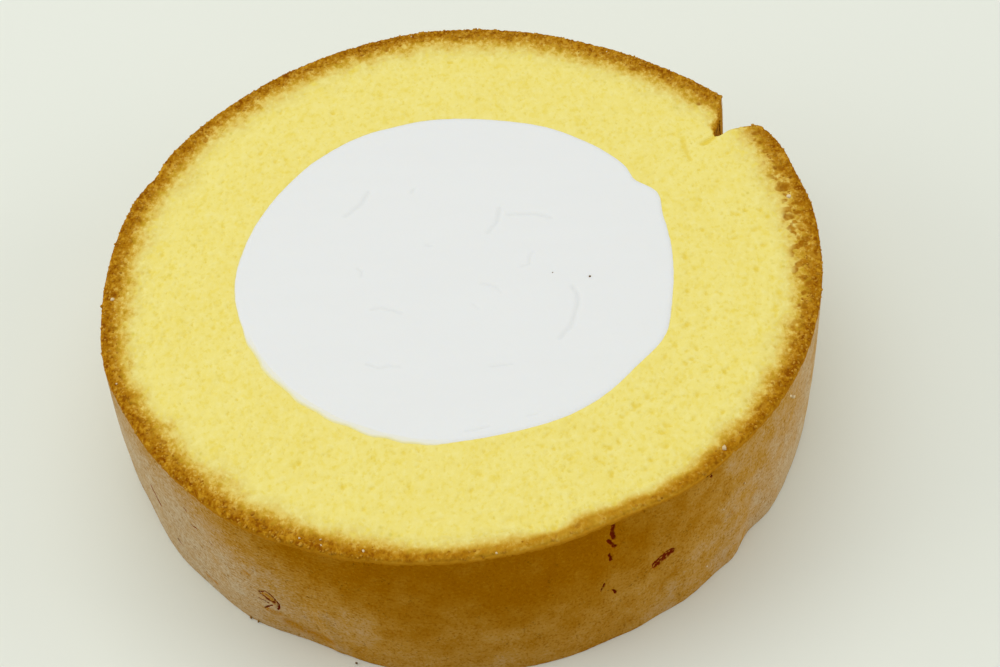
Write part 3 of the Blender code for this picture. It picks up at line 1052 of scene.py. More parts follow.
# Painted shade: the wall is painted darker on the left.
add_mask(skin, "shade", left_foot)
add_mask(skin, "tear", tear)
add_mask(skin, "scuff", ease(scuff, 0.0, 0.8))
add_mask(skin, "flap", 1 - ease(skin_run, LEFT_FLAP - 0.6 * MM, LEFT_FLAP + 0.2 * MM))
add_vectors(skin, "wrap", np.column_stack((skin_run, skin_height, np.zeros(len(skin_run)))))
print(f"dryness from {sheen_and_mottle.min():.1f} to {sheen_and_mottle.max():.1f}")

# %% [markdown]
# ## The cream
#
# The filling is whipped cream, smoothed by the knife into one flat white face. A round grid
# with a pole in its middle would have hair-thin triangles there, so we take a square grid and
# press its sides out to a circle. The cream ends in a soft edge that lies on the crumb. At
# the lower left the knife drew a thin film of it out over the sponge, with a faint step where
# the film begins. Shallow wrinkles show where the cream was pulled.

# %% Press the cream into its round
CREAM_CELLS = 132
CREAM_EDGE = 0.10 * MM
CREAM_SLOPE = 0.75 * MM               # width of the soft slope just inside the edge
CREAM_SINK = 0.20 * MM
WRINKLES = (                          # places in mm from the roll's middle, half width in mm
    (((-10.8, -6.0), (-9.7, -5.9), (-8.8, -6.2), (-7.9, -6.6), (-7.2, -7.0)), 0.40),
    (((-11.7, -14.8), (-10.9, -15.0), (-10.2, -15.5), (-9.0, -15.4), (-7.7, -15.6)), 0.34),
    (((2.6, -3.3), (3.5, -3.4), (4.3, -3.9), (4.7, -4.8)), 0.30),
    (((1.3, -6.4), (2.0, -7.3)), 0.30),
    (((13.5, -4.7), (13.9, -5.9), (13.9, -7.4), (13.4, -9.3), (12.7, -11.2), (11.4, -12.8)), 0.50),
    (((6.5, 8.3), (7.9, 8.2), (9.8, 8.1), (11.6, 7.2)), 0.45),
    (((9.0, 1.5), (8.6, 0.7), (8.4, -0.5), (7.4, -0.9)), 0.30),
    (((-10.8, 14.0), (-11.6, 12.2), (-13.7, 10.1)), 0.50),
    (((-12.4, 0.8), (-11.9, 0.4), (-12.0, -0.4)), 0.35),
    (((-5.1, 14.0), (-5.4, 13.3)), 0.35), (((-3.9, 4.0), (-3.3, 3.8)), 0.35),
    (((5.5, 9.6), (5.0, 7.2), (3.8, 5.4)), 0.45), (((2.9, -16.6), (4.1, -16.5), (5.5, -16.4)), 0.30),
    (((-0.5, -26.2), (2.3, -25.8)), 0.30), (((6.7, -24.6), (7.9, -24.3)), 0.25))

cream = add_slab("cream_filling", CREAM_CELLS, CREAM_CELLS, 6)
print(subdivide_where(cream, on_top), "faces cut finer")


def shape_cream(flat):
    """Carry the square slab's points into the cream's round."""
    across, up = 2 * flat[:, 0] - 1, 2 * flat[:, 1] - 1
    x, y = across * np.sqrt(1 - up ** 2 / 2), up * np.sqrt(1 - across ** 2 / 2)
    radius = np.clip(np.hypot(x, y), 0, 1)
    radius = radius * (1 + 0.32 * (1 - radius))
    angle = np.arctan2(y, x)
    around = np.column_stack((polar(np.full_like(angle, CREAM_RADIUS), angle), np.zeros_like(angle)))
    rim = (cream_radius(angle) + 0.07 * MM * grain(around, 2.4 * MM, 20)
           + 0.05 * MM * grain(around, 0.9 * MM, 21)
           + film_window(angle) * (FILM_REACH + 0.30 * MM * grain(around, 2.6 * MM, 22)))
    plan = CREAM_CENTRE + polar(radius * rim, angle)
    return plan, angle, radius * rim, rim


def wrinkle_depth(points):
    """1 in the middle of a wrinkle; narrow wrinkles are shallower."""
    depth = np.zeros(len(points))
    for path, half_width in WRINKLES:
        fold = stroke(points, np.array(path) * MM, half_width * MM)
        depth = np.maximum(depth, fold * min(1, half_width / 0.4))
    return depth


cream_flat = read(cream.data.vertices, "co", 3)
cream_plan, cream_angle, cream_reach, cream_rim = shape_cream(cream_flat)
edge_distance = cream_rim - cream_reach
edge_drop = CREAM_EDGE * (1 - np.sqrt(1 - np.clip(1 - edge_distance / CREAM_EDGE, 0, 1) ** 2))
flat_places = np.column_stack((cream_plan, np.zeros(len(cream_plan))))
folds = wrinkle_depth(warped(flat_places, 1.5 * MM, 0.12 * MM, 23)[:, :2])
filmed = film_window(cream_angle)
past_step = cream_reach - (cream_radius(cream_angle) - 0.60 * MM)
past_step += 0.15 * MM * grain(flat_places, 3 * MM, 24)
film = filmed * ease(past_step / (0.22 * MM))
slope_share = np.clip(1 - edge_distance / (CREAM_SLOPE * (1 - 0.45 * filmed)), 0, 1)
edge_drop = np.maximum(edge_drop, CREAM_SINK * (1 - 0.3 * filmed) * slope_share ** 2)
cream_relief = (0.05 * grain(flat_places, 9 * MM, 25) + 0.012 * grain(flat_places, 2.2 * MM, 26)) * MM
cream_top = SLICE_HEIGHT + 0.03 * MM + cream_relief - 0.11 * MM * ease(folds) - 0.05 * MM * film
cream_depth = np.clip(-cream_flat[:, 2], 0, 1)
cream_height = (cream_top - edge_drop) * (1 - cream_depth) + edge_drop * cream_depth
narrow = np.where(cream_depth > 0, 1 - (filmed * FILM_REACH + 0.35 * MM) / cream_rim, 1)
cream_plan = (cream_plan - CREAM_CENTRE) * narrow[:, None] + CREAM_CENTRE + ROLL_SHIFT
set_places(cream, np.column_stack((cream_plan, cream_height)))
face_outwards(cream)
add_mask(cream, "film", film)
add_mask(cream, "thin", (1 - edge_distance / (0.45 * MM + 0.5 * MM * filmed)).clip(0, 1))
# Painted shade: this mask greys the cream in the wrinkles' hollows.
add_mask(cream, "fold", ease(folds))
print(f"cream {2 * cream_reach.max() / MM:.1f} mm across")

# %% [markdown]
# ## Grains and specks
#
# Up close, the toasted band is a mass of tiny grains, and a knife also leaves loose crumbs on
# the cut face. They are far too small to model one by one. One rough lump of twenty faces is
# copied to many places, each copy turned, stretched and sized at random, and all lumps of a
# kind are joined to one piece. Each carries a shade, so that no two need look the same.

# %% Helper that scatters lumps
ANY_TURN = 6.28                       # radians, all the way round


def add_lumps(name, spots, rng):
    """One piece from many lumps, for spots given as (place, radius, shade from 0 to 1)."""
    clear_selection()
    bpy.ops.mesh.primitive_ico_sphere_add(subdivisions=1, radius=1)
    lump = bpy.context.object
    lump.name = lump.data.name = name
    points = read(lump.data.vertices, "co", 3)
    faces = [tuple(face.vertices) for face in lump.data.polygons]
    all_points, all_faces, shades = [], [], []
    for place, radius, shade in spots:
        turn = Matrix.Rotation(rng.uniform(0, ANY_TURN), 3, Vector(rng.normal(size=3)))
        shape = points * rng.uniform(0.75, 1.25, size=(len(points), 1))
        shape = shape * rng.uniform(0.7, 1.2, size=3)
        start = len(all_points) * len(points)
        all_points.append(shape @ np.array(turn) * radius + place)
        all_faces += [tuple(index + start for index in face) for face in faces]
        shades += [shade] * len(points)
    mesh = bpy.data.meshes.new(name)
    mesh.from_pydata(np.concatenate(all_points).tolist(), [], all_faces)
    lump.data = mesh
    face_outwards(lump)
    add_mask(lump, "shade", shades)
    return lump


# %% Scatter the grains
rng = np.random.default_rng(31)
toasted = point_areas(crust) * crust_sheet["top"] * (crust_sheet["toast"] < 1.05)
toasted = toasted * (crust_sheet["places"][:, 2] > 0.8 * SLICE_HEIGHT)
toasted = toasted * (1 - 0.85 * bell(crust_sheet["angle"], -72, 34))
crust_spots = []
for pick in rng.choice(len(toasted), size=1500, p=toasted / toasted.sum()):
    radius = rng.uniform(0.10, 0.24) * MM
    middle = crust_sheet["places"][pick] - (0, 0, 0.45 * radius)
    crust_spots.append((middle, radius, rng.uniform(0, 1)))
crust_grains = add_lumps("crust_grains", crust_spots, rng)
print(len(crust_spots), "crust grains")

# %% [markdown]
# The specks and the crumbs have their own places: on the cut face, on the wall, on the cream
# and round the foot.

# %% Place the specks and crumbs
FACE_SPECKS = (                       # radius from the middle in mm, degrees, size in mm
    (44.0, -106.4, 0.20), (44.3, -116.1, 0.16), (43.7, -113.1, 0.14), (42.5, -47.8, 0.30),
    (42.2, -178.4, 0.24), (43.9, -87.2, 0.15), (44.4, -33.5, 0.18), (44.4, -112.6, 0.14),
    (42.8, 60.5, 0.14), (41.9, 10.8, 0.28), (43.4, 96.0, 0.13), (43.6, -160.0, 0.13))
WALL_SPECKS = (                       # degrees, height in mm, size in mm
    (-30.0, 18.7, 0.27), (-49.0, 12.5, 0.13), (-52.5, 4.2, 0.13), (-44.0, 13.8, 0.15),
    (-93.5, 9.0, 0.12))
CREAM_CRUMBS = (((15.6, -3.3), 0.15), ((11.2, -2.2), 0.11))
FOOT_CRUMBS = (                       # degrees, mm beyond the foot, size in mm
    (-129.0, 0.15, 0.20), (-110.0, 0.7, 0.16), (-101.5, 0.1, 0.24), (-100.6, 0.1, 0.18),
    (-127.6, 0.1, 0.16))
SPECK_PROUD = 0.10 * MM


def beside(outline, degrees, beyond, height):
    """A place just outside an outline of the roll."""
    radius = float(outline(math.radians(degrees))) + beyond
    return np.array((*(degrees_point(radius, degrees) + ROLL_SHIFT), height))


speck_spots = [(on_cut_face(radius, degrees), size * MM, rng.uniform(0, 1))
               for radius, degrees, size in FACE_SPECKS]
for degrees, height, size in WALL_SPECKS:
    side = beside(outer_radius, degrees, SPECK_PROUD, height * MM)
    speck_spots.append((side, size * MM, rng.uniform(0, 1)))
pale_specks = add_lumps("pale_specks", speck_spots, rng)

dark_spots = []
for plan, size in CREAM_CRUMBS:
    on_cream = np.array((*(np.array(plan) * MM + ROLL_SHIFT), SLICE_HEIGHT + 0.02 * MM))
    dark_spots.append((on_cream, size * MM, 0.2))
for degrees, beyond, size in FOOT_CRUMBS:
    foot = beside(base_radius, degrees, beyond * MM, 1.6 * size * MM)
    dark_spots.append((foot, size * MM, rng.uniform(0, 1)))
dark_crumbs = add_lumps("dark_crumbs", dark_spots, rng)
print(len(speck_spots), "pale specks and", len(dark_spots), "dark crumbs")

# %% [markdown]
# ## Materials
#
# Cake has no paint. Its colours come from what it is made of and how hot each part got, so
# each material mixes a few food colours by masks. Patterns read the object's own coordinates,
# so they stay put on the cake. We first write small helpers that add nodes and join them.

# %% Node helpers


def new_material(name):
    material = bpy.data.materials.new(name)
    material.use_nodes = True
    return material, material.node_tree, material.node_tree.nodes["Principled BSDF"]


def join(tree, source, target):
    """Set a socket from a number or colour, or link it to another socket."""
    if isinstance(source, (int, float, tuple)):
        target.default_value = source
    else:
        tree.links.new(source, target)


def own_coordinates(tree):
    return tree.nodes.new("ShaderNodeTexCoord").outputs["Object"]


def mask(tree, name, output="Fac"):
    node = tree.nodes.new("ShaderNodeAttribute")
    node.attribute_name = name
    return node.outputs[output]


def stretched(tree, vector, scale):
    node = tree.nodes.new("ShaderNodeMapping")
    node.inputs["Scale"].default_value = scale
    join(tree, vector, node.inputs["Vector"])
    return node.outputs["Vector"]


def noise_at(tree, vector, scale, detail=2.0, rough=0.5):
    node = tree.nodes.new("ShaderNodeTexNoise")
    node.inputs["Detail"].default_value = detail
    node.inputs["Roughness"].default_value = rough
    join(tree, scale, node.inputs["Scale"])
    join(tree, vector, node.inputs["Vector"])
    return node.outputs["Fac"]


def cells_at(tree, vector, scale):
    node = tree.nodes.new("ShaderNodeTexVoronoi")
    join(tree, scale, node.inputs["Scale"])
    join(tree, vector, node.inputs["Vector"])
    return node.outputs["Distance"]


def calculate(tree, operation, *values):
    node = tree.nodes.new("ShaderNodeMath")
    node.operation = operation
    for value, socket in zip(values, node.inputs):
        join(tree, value, socket)
    return node.outputs["Value"]


def fade(tree, value, low, high, to_low=0.0, to_high=1.0):
    """A value that goes smoothly from one number to another while its source goes low to high."""
    node = tree.nodes.new("ShaderNodeMapRange")
    node.interpolation_type = "SMOOTHSTEP"
    for name, number in (("From Min", low), ("From Max", high), ("To Min", to_low),
                         ("To Max", to_high)):
        node.inputs[name].default_value = number
    join(tree, value, node.inputs["Value"])
    return node.outputs["Result"]


def mix(tree, factor, first, second):
    node = tree.nodes.new("ShaderNodeMix")
    node.data_type = "RGBA"
    for value, socket in ((factor, node.inputs[0]), (first, node.inputs[6]), (second, node.inputs[7])):
        join(tree, value, socket)
    return node.outputs[2]


def ramp(tree, value, stops):
    """A colour ramp with its stops as (place, colour)."""
    node = tree.nodes.new("ShaderNodeValToRGB")
    elements = node.color_ramp.elements
    while len(elements) < len(stops):
        elements.new(0.5)
    for element, (place, colour) in zip(elements, stops):
        element.position = place
        element.color = colour
    join(tree, value, node.inputs["Fac"])
    return node.outputs["Color"]


def within(tree, zone, value, strength=1.0):
    """A mask that counts only inside a zone."""
    return calculate(tree, "MULTIPLY", calculate(tree, "MULTIPLY", value, strength), zone)


def paint(tree, colour, layers, zone=None):
    """Lay colours over a first one, each as (mask, strength, colour), maybe inside a zone."""
    for value, strength, tint in layers:
        value = calculate(tree, "MULTIPLY", value, strength)
        if zone is not None:
            value = calculate(tree, "MULTIPLY", value, zone)
        colour = mix(tree, value, colour, tint)
    return colour


def finish_look(tree, shader, colour, roughness, shine):
    """The last colour goes to the shader, with how rough and how shiny the surface is."""
    join(tree, colour, shader.inputs["Base Color"])
    shader.inputs["Roughness"].default_value = roughness
    shader.inputs["Specular IOR Level"].default_value = shine


def bump(tree, height, strength, distance):
    node = tree.nodes.new("ShaderNodeBump")
    node.inputs["Strength"].default_value = strength
    node.inputs["Distance"].default_value = distance
    join(tree, height, node.inputs["Height"])
    return node.outputs["Normal"]


def rgb(red, green, blue):
    return (red, green, blue, 1.0)


# %% [markdown]
# ### A shared group for baked grain
#
# Crumb, skin and grains all have the same two kinds of unevenness: slow clouds, where the
# batter was richer or the oven hotter, and a fine grain from the bubbles. One node group
# makes both, and a mask of single bubbles, with its own scales in each material.

# %% The group "baked_grain"


def make_grain_group():
    group = bpy.data.node_groups.new("baked_grain", "ShaderNodeTree")
    for name, kind, direction in (("Place", "NodeSocketVector", "INPUT"),
                                  ("Cloud Scale", "NodeSocketFloat", "INPUT"),
                                  ("Grain Scale", "NodeSocketFloat", "INPUT"),
                                  ("Cloud", "NodeSocketFloat", "OUTPUT"),
                                  ("Grain", "NodeSocketFloat", "OUTPUT"),
                                  ("Bubbles", "NodeSocketFloat", "OUTPUT")):
        group.interface.new_socket(name=name, in_out=direction, socket_type=kind)
    entry = group.nodes.new("NodeGroupInput").outputs
    leave = group.nodes.new("NodeGroupOutput").inputs
    join(group, noise_at(group, entry["Place"], entry["Cloud Scale"], 3.0, 0.55), leave["Cloud"])
    join(group, noise_at(group, entry["Place"], entry["Grain Scale"], 3.0, 0.62), leave["Grain"])
    bubble_scale = calculate(group, "MULTIPLY", entry["Grain Scale"], 0.8)
    cells = cells_at(group, entry["Place"], bubble_scale)
    join(group, fade(group, cells, 0.08, 0.42, 1, 0), leave["Bubbles"])
    return group


GRAIN_GROUP = make_grain_group()


def baked_grain(tree, place, cloud_scale, grain_scale):
    node = tree.nodes.new("ShaderNodeGroup")
    node.node_tree = GRAIN_GROUP
    join(tree, place, node.inputs["Place"])
    node.inputs["Cloud Scale"].default_value = cloud_scale
    node.inputs["Grain Scale"].default_value = grain_scale
    return node.outputs["Cloud"], node.outputs["Grain"], node.outputs["Bubbles"]


print("group sockets:", [item.name for item in GRAIN_GROUP.interface.items_tree])

# %% [markdown]
# ### Crumb
#
# Egg yolk makes the crumb yellow. Light that bounces about in a pore picks up more of that
# yellow, so pores go deeper in colour rather than grey. Towards the oven side the crumb
# browns through a series of colours like a ramp of toast. Feathering the ramp's input with
# noise makes single bubble walls brown before their neighbours.

# %% Crumb material
TOAST_RANGE = 4.0                     # band widths that the ramp covers
TOAST_RAMP = (                        # share of the range, colour
    (0.00, rgb(0.355, 0.145, 0.003)), (0.10, rgb(0.378, 0.156, 0.003)),
    (0.16, rgb(0.420, 0.181, 0.005)), (0.22, rgb(0.486, 0.233, 0.010)),
    (0.28, rgb(0.565, 0.310, 0.024)), (0.35, rgb(0.655, 0.414, 0.054)),
    (0.43, rgb(0.742, 0.552, 0.120)), (0.56, rgb(0.806, 0.684, 0.195)),
    (0.80, rgb(0.865, 0.748, 0.210)))


def toast_colour(tree, toast_value):
    """The browning colour for a distance in band widths."""
    return ramp(tree, calculate(tree, "DIVIDE", toast_value, TOAST_RANGE), TOAST_RAMP)


def centred(tree, value, strength):
    """A noise value moved to lie round 0 and scaled."""
    return calculate(tree, "MULTIPLY", calculate(tree, "SUBTRACT", value, 0.5), strength)


crumb_material, tree, shader = new_material("sponge_crumb")
place = own_coordinates(tree)
long_place = stretched(tree, place, (1.0, 0.74, 1.0))
cloud, fine, bubbles = baked_grain(tree, long_place, 190, 1600)
medium = noise_at(tree, long_place, 850, 2, 0.6)
soft = mask(tree, "soft")
toast = mask(tree, "toast")
toasted = calculate(tree, "MAXIMUM", toast, soft)
toasted = calculate(tree, "ADD", toasted, centred(tree, noise_at(tree, place, 430, 2), 0.55))
toasted = calculate(tree, "ADD", toasted, centred(tree, fine, 0.45))
rough = calculate(tree, "MULTIPLY_ADD", soft, -0.75, 1.0)
clumps = centred(tree, noise_at(tree, place, 1150, 1), 0.95)
toasted = calculate(tree, "ADD", toasted, within(tree, rough, clumps))

# On the right the band breaks up into brown blots in a paler ground, inside a brown line.
past_line = fade(tree, toast, 0.25, 0.60)
patchy = mask(tree, "patchy")
between = calculate(tree, "MULTIPLY", past_line, fade(tree, toast, 1.75, 1.30))
between = calculate(tree, "MULTIPLY", between, patchy)
toasted = calculate(tree, "ADD", toasted, within(tree, patchy, past_line, 0.25))
colour = toast_colour(tree, toasted)
in_crumb = fade(tree, toasted, 1.2, 2.2)
in_band = calculate(tree, "SUBTRACT", 1.0, in_crumb)

# %% [markdown]
# Inside the band the crumb is yellow, but never one yellow: bubble walls are paler, hollows
# and pores are deeper, and near the band single bubbles have an olive shade.

# %% Colours of the crumb
yellow = mix(tree, fade(tree, cloud, 0.32, 0.68), rgb(0.862, 0.736, 0.192), rgb(0.874, 0.760, 0.216))
pore = mask(tree, "pore")
olive = calculate(tree, "MULTIPLY", bubbles, fade(tree, noise_at(tree, place, 620, 1), 0.54, 0.66))
olive = calculate(tree, "MULTIPLY", olive, fade(tree, toasted, 4.5, 1.8, 0.35, 1.0))
colour = paint(tree, colour, (
    (fade(tree, toasted, 2.2, 4.0), 0.85, yellow),
    (fade(tree, medium, 0.52, 0.70), 0.50, rgb(0.888, 0.792, 0.275)),
    (fade(tree, medium, 0.46, 0.30), 0.65, rgb(0.838, 0.690, 0.125)),
    (fade(tree, fine, 0.52, 0.70), 0.45, rgb(0.895, 0.805, 0.300)),
    (fade(tree, fine, 0.45, 0.32), 0.60, rgb(0.805, 0.650, 0.095)),
    (fade(tree, pore, 0.05, 1.0), 0.85, rgb(0.790, 0.610, 0.070)),
    (olive, 0.50, rgb(0.600, 0.500, 0.050))), in_crumb)

# %% [markdown]
# In the band bubble walls stay lighter and open pits are darker. At the front the grit is
# softer, and where the crust hangs over the skin it takes on the skin's golden brown.

# %% Grit, blots and lip of the band
hanging = mask(tree, "hang")
colour = paint(tree, colour, ((hanging, 0.90, rgb(0.600, 0.275, 0.012)),), soft)
grit = calculate(tree, "MULTIPLY", noise_at(tree, long_place, 2300, 2, 0.6), 0.6)
grit = calculate(tree, "ADD", grit, calculate(tree, "MULTIPLY", medium, 0.4))
fringe = fade(tree, toasted, 0.4, 1.5)
light_wall = mix(tree, fringe, rgb(0.600, 0.312, 0.018), rgb(0.835, 0.650, 0.165))
dark_pit = mix(tree, fringe, rgb(0.225, 0.062, 0.001), rgb(0.560, 0.340, 0.018))
sharp = calculate(tree, "MULTIPLY", in_band, calculate(tree, "MULTIPLY_ADD", soft, -0.60, 1.0))
sharp = calculate(tree, "MULTIPLY", sharp, fade(tree, hanging, 0.0, 1.0, 1.0, 0.4))
colour = paint(tree, colour, (
    (fade(tree, grit, 0.50, 0.62), 0.75, light_wall),
    (fade(tree, grit, 0.49, 0.39), 0.90, dark_pit),
    (fade(tree, pore, 0.15, 0.9), 0.45, dark_pit)), sharp)

blots = fade(tree, noise_at(tree, place, 640, 1), 0.50, 0.57)
blot_colour = mix(tree, fade(tree, grit, 0.40, 0.60), rgb(0.325, 0.112, 0.001),
                  rgb(0.455, 0.200, 0.006))
cell_colour = mix(tree, fade(tree, medium, 0.4, 0.6), rgb(0.330, 0.125, 0.003),
                  rgb(0.480, 0.235, 0.015))
colour = paint(tree, colour, (
    (within(tree, between, blots), 0.90, blot_colour),
    (fade(tree, mask(tree, "cell"), 0.05, 0.8), 0.85, cell_colour),
    (mask(tree, "lip"), 0.85, rgb(0.430, 0.172, 0.003))))
finish_look(tree, shader, colour, 0.9, 0.02)
height = calculate(tree, "ADD", fine, within(tree, in_band, grit, 1.4))
join(tree, bump(tree, height, 0.40, 0.00018), shader.inputs["Normal"])
finish_piece(crumb, crumb_material, "sponge")
finish_piece(crust, crumb_material, "sponge")

# %% [markdown]
# ### Skin
#
# The skin is a baked sugar and egg film. One ramp leads from deep golden to a greyish tan; the
# greyish tan is painted sheen, a painted reflection of the bright room and floor towards the
# sides and the base. Streaks that run round the roll, clouds and fine specks push the ramp's
# input up and down, so that they keep to the food's own colours. On top of that come painted
# shade over the left side, dark specks, paler flecks and dark pricks.
# The skin is matt: a gloss would put a cold veil over the deep golden front, so the veil at
# the sides is painted into the colour instead.

# %% Skin material
SHEEN_SHIFT, SHEEN_RANGE = 0.3, 1.5
SHEEN_RAMP = (                          # (dryness + shift) / range, colour
    (0.00, rgb(0.300, 0.098, 0.0003)), (0.20, rgb(0.350, 0.128, 0.0006)),
    (0.30, rgb(0.400, 0.172, 0.0080)), (0.40, rgb(0.462, 0.228, 0.028)),
    (0.47, rgb(0.490, 0.262, 0.050)), (0.60, rgb(0.515, 0.312, 0.118)),
    (0.77, rgb(0.548, 0.388, 0.210)), (1.00, rgb(0.620, 0.510, 0.350)))

skin_material, tree, shader = new_material("browned_skin")
place = own_coordinates(tree)
wrap = mask(tree, "wrap", "Vector")
cloud, fine, bubbles = baked_grain(tree, place, 420, 2900)
streaks = noise_at(tree, stretched(tree, wrap, (520, 1300, 1)), 1.0, 3, 0.6)
lines = noise_at(tree, stretched(tree, wrap, (1150, 4300, 1)), 1.0, 2, 0.6)
sheen_and_mottle = mask(tree, "sheen_and_mottle")
streaky = mask(tree, "streaky")
sheen_zone = fade(tree, sheen_and_mottle, 0.05, 0.55, 0.35, 1.0)
greyish = fade(tree, sheen_and_mottle, 0.05, 0.85)
sheen_and_texture = sheen_and_mottle
for zone, value, strength in ((sheen_zone, cloud, 0.85), (sheen_zone, fine, 0.80),
                              (streaky, streaks, 0.35), (streaky, lines, 0.90)):
    sheen_and_texture = calculate(tree, "ADD", sheen_and_texture, within(tree, zone, centred(tree, value, strength)))
sheen_and_texture = calculate(tree, "ADD", sheen_and_texture, SHEEN_SHIFT)
# The ramp paints the sheen: greyer tan towards the sides and the base.
colour = ramp(tree, calculate(tree, "DIVIDE", sheen_and_texture, SHEEN_RANGE), SHEEN_RAMP)

shaded = mix(tree, greyish, rgb(0.200, 0.090, 0.002), rgb(0.240, 0.150, 0.045))
dark = mix(tree, greyish, rgb(0.270, 0.085, 0.0003), rgb(0.270, 0.140, 0.020))
pale = mix(tree, greyish, rgb(0.450, 0.205, 0.006), rgb(0.660, 0.515, 0.320))
pricks = calculate(tree, "MULTIPLY", bubbles, fade(tree, noise_at(tree, place, 700, 1), 0.58, 0.68))
# The first layer is painted shade, darker on the left side.
colour = paint(tree, colour, (
    (mask(tree, "shade"), 0.26, shaded),
    (fade(tree, fine, 0.45, 0.32), 0.60, dark),
    (within(tree, streaky, fade(tree, lines, 0.44, 0.32)), 0.40, dark),
    (fade(tree, fine, 0.55, 0.70), 0.45, pale),
    (within(tree, streaky, fade(tree, lines, 0.56, 0.68)), 0.40, pale),
    (pricks, 0.60, rgb(0.190, 0.075, 0.001))))

# %% [markdown]
# Last come the rim, the flap round the left end and the marks. A tear is red-brown, and
# darkest in its middle. Noise breaks it up, as shreds of skin hang over it.

# %% Rim and marks
RIM_START, RIM_STOP = SLICE_HEIGHT - 0.5 * MM, SLICE_HEIGHT - 0.1 * MM
rise = tree.nodes.new("ShaderNodeSeparateXYZ")
join(tree, wrap, rise.inputs["Vector"])
rim_height = calculate(tree, "MULTIPLY_ADD", streaks, 0.8 * MM, rise.outputs["Y"])
rim_colour = mix(tree, greyish, rgb(0.430, 0.180, 0.006), rgb(0.560, 0.370, 0.190))
scuff_mask = calculate(tree, "MULTIPLY", mask(tree, "scuff"), fade(tree, fine, 0.38, 0.55))
tears = mask(tree, "tear")
broken = fade(tree, noise_at(tree, place, 3200, 2, 0.6), 0.68, 0.52)
colour = paint(tree, colour, (
    (fade(tree, rim_height, RIM_START, RIM_STOP), 0.65, rim_colour),
    (mask(tree, "flap"), 0.95, rgb(0.400, 0.175, 0.006)),
    (scuff_mask, 1.0, rgb(0.400, 0.165, 0.003)),
    (within(tree, broken, fade(tree, tears, 0.05, 0.40)), 0.95, rgb(0.270, 0.058, 0.004)),
    (within(tree, broken, fade(tree, tears, 0.30, 0.70)), 0.95, rgb(0.150, 0.012, 0.001))))
finish_look(tree, shader, colour, 0.8, 0.0)
height = calculate(tree, "ADD", fine, within(tree, streaky, lines, 0.8))
height = calculate(tree, "SUBTRACT", height, calculate(tree, "MULTIPLY", pricks, 0.6))
join(tree, bump(tree, height, 0.8, 0.00014), shader.inputs["Normal"])
finish_piece(skin, skin_material, "sponge")

# %% [markdown]
# ### Cream
#
# Whipped cream is full of air and scatters light under its surface, so it needs a little
# subsurface and a soft gloss. It is nearly white; the thin film and the edge over the sponge
# are warmer because the crumb shows through, and wrinkles are painted a little greyer, as
# painted shade in their hollows.

# %% Cream material
cream_material, tree, shader = new_material("whipped_cream")
place = own_coordinates(tree)
smear = noise_at(tree, stretched(tree, place, (60, 260, 60)), 1.0, 4, 0.6)
colour = mix(tree, fade(tree, smear, 0.3, 0.7), rgb(0.806, 0.819, 0.796), rgb(0.811, 0.825, 0.802))
colour = paint(tree, colour, (
    (mask(tree, "film"), 0.7, rgb(0.835, 0.815, 0.640)),
    (fade(tree, mask(tree, "thin"), 0.35, 1.0), 1.0, rgb(0.845, 0.760, 0.300)),
    # painted shade in the wrinkles
    (mask(tree, "fold"), 0.5, rgb(0.74, 0.755, 0.735))))
finish_look(tree, shader, colour, 0.5, 0.25)
shader.inputs["Subsurface Weight"].default_value = 0.2
shader.inputs["Subsurface Radius"].default_value = (1.0, 0.9, 0.75)
shader.inputs["Subsurface Scale"].default_value = 0.0015
join(tree, bump(tree, smear, 0.04, 0.0002), shader.inputs["Normal"])
finish_piece(cream, cream_material, "cream")

# %% [markdown]
# ### Grains and specks
#
# Each grain's shade picks its colour between two ends: dark and light toast for the crust,
# two tans for the pale specks, and dark to middle brown for the crumbs.

# %% Grain materials


def grain_material(name, dark, light, roughness):
    """A grain's colour between a dark and a light end, picked by its own shade."""
    material, tree, shader = new_material(name)
    _, fine, _ = baked_grain(tree, own_coordinates(tree), 300, 2600)
    shade = calculate(tree, "MULTIPLY", mask(tree, "shade"), 0.75)
    shade = calculate(tree, "MULTIPLY_ADD", fine, 0.5, shade)
    finish_look(tree, shader, mix(tree, fade(tree, shade, 0.1, 1.0), dark, light), roughness, 0.05)
    join(tree, bump(tree, fine, 0.3, 0.0001), shader.inputs["Normal"])
    return material


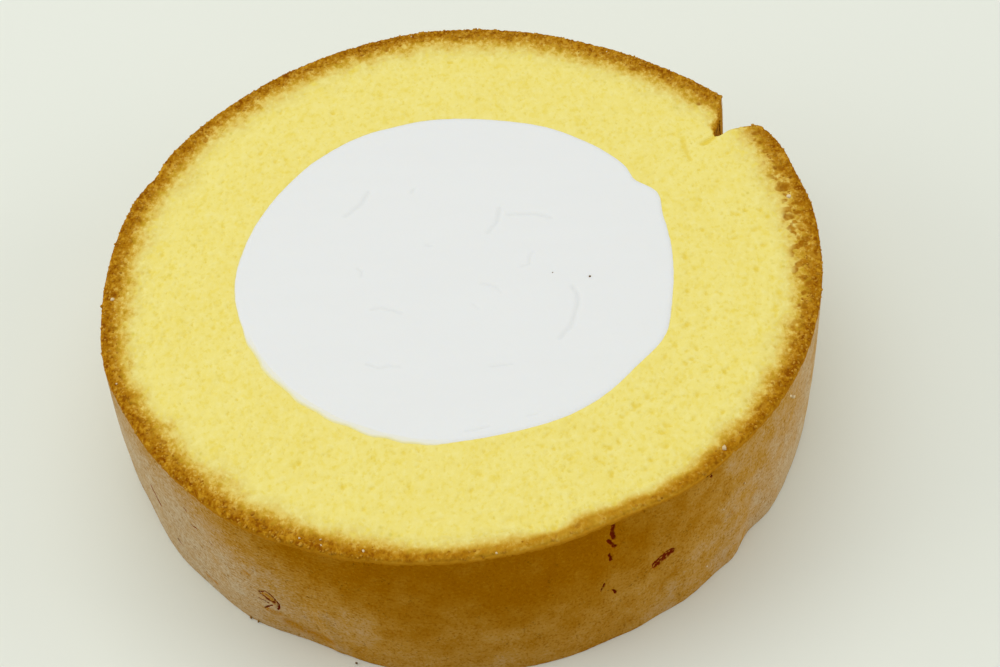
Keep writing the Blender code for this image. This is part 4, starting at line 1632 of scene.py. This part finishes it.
for piece, name, dark_end, light_end, roughness in (
        (crust_grains, "toasted_grain", rgb(0.36, 0.150, 0.003), rgb(0.56, 0.29, 0.03), 0.75),
        (pale_specks, "pale_speck", rgb(0.62, 0.45, 0.22), rgb(0.76, 0.63, 0.38), 0.70),
        (dark_crumbs, "dark_crumb", rgb(0.09, 0.05, 0.02), rgb(0.32, 0.17, 0.04), 0.75)):
    finish_piece(piece, grain_material(name, dark_end, light_end, roughness), "sponge")

# %% [markdown]
# ## Floor and light
#
# A plain pale floor and a plain studio. The bright room all round keeps the front wall
# readable. One large soft light, almost overhead and a little to the back left, lights the cut
# face more than the wall and lets the pores show. A small one on each side lights the wall
# there. Lights point at the middle of the cake.

# %% Floor and light
FLOOR_SIZE = 6
ROOM_COLOUR, ROOM_STRENGTH = rgb(0.97, 0.985, 1.0), 0.42
LIGHTS = (                            # name, place, size, power, colour
    ("window", (-0.12, 0.14, 0.98), 1.3, 5.95, (1.0, 0.99, 0.97)),
    ("left_fill", (-0.70, 0.0, 0.26), 0.6, 2.2, (0.97, 0.985, 1.0)),
    ("right_fill", (0.70, -0.05, 0.24), 0.6, 1.8, (1.0, 1.0, 1.0)))

clear_selection()
bpy.ops.mesh.primitive_plane_add(size=FLOOR_SIZE)
floor = bpy.context.object
floor.name = "floor"
floor_material, tree, shader = new_material("pale_floor")
cloud, _, _ = baked_grain(tree, own_coordinates(tree), 3, 60)
colour = mix(tree, cloud, rgb(0.800, 0.826, 0.738), rgb(0.815, 0.842, 0.752))
finish_look(tree, shader, colour, 0.6, 0.2)
floor.data.materials.append(floor_material)

world = bpy.data.worlds.new("studio")
bpy.context.scene.world = world
world.use_nodes = True
room = world.node_tree.nodes["Background"]
room.inputs["Color"].default_value = ROOM_COLOUR
room.inputs["Strength"].default_value = ROOM_STRENGTH


def add_soft_light(name, place, size, power, colour):
    """A square light that points at the middle of the cake."""
    bpy.ops.object.light_add(type="AREA", location=place)
    light = bpy.context.object
    light.name = name
    light.data.size = size
    light.data.energy = power
    light.data.color = colour
    light.rotation_euler = (-Vector(place)).to_track_quat("-Z", "Y").to_euler()


for light_values in LIGHTS:
    add_soft_light(*light_values)
bpy.context.scene.view_settings.view_transform = "Standard"
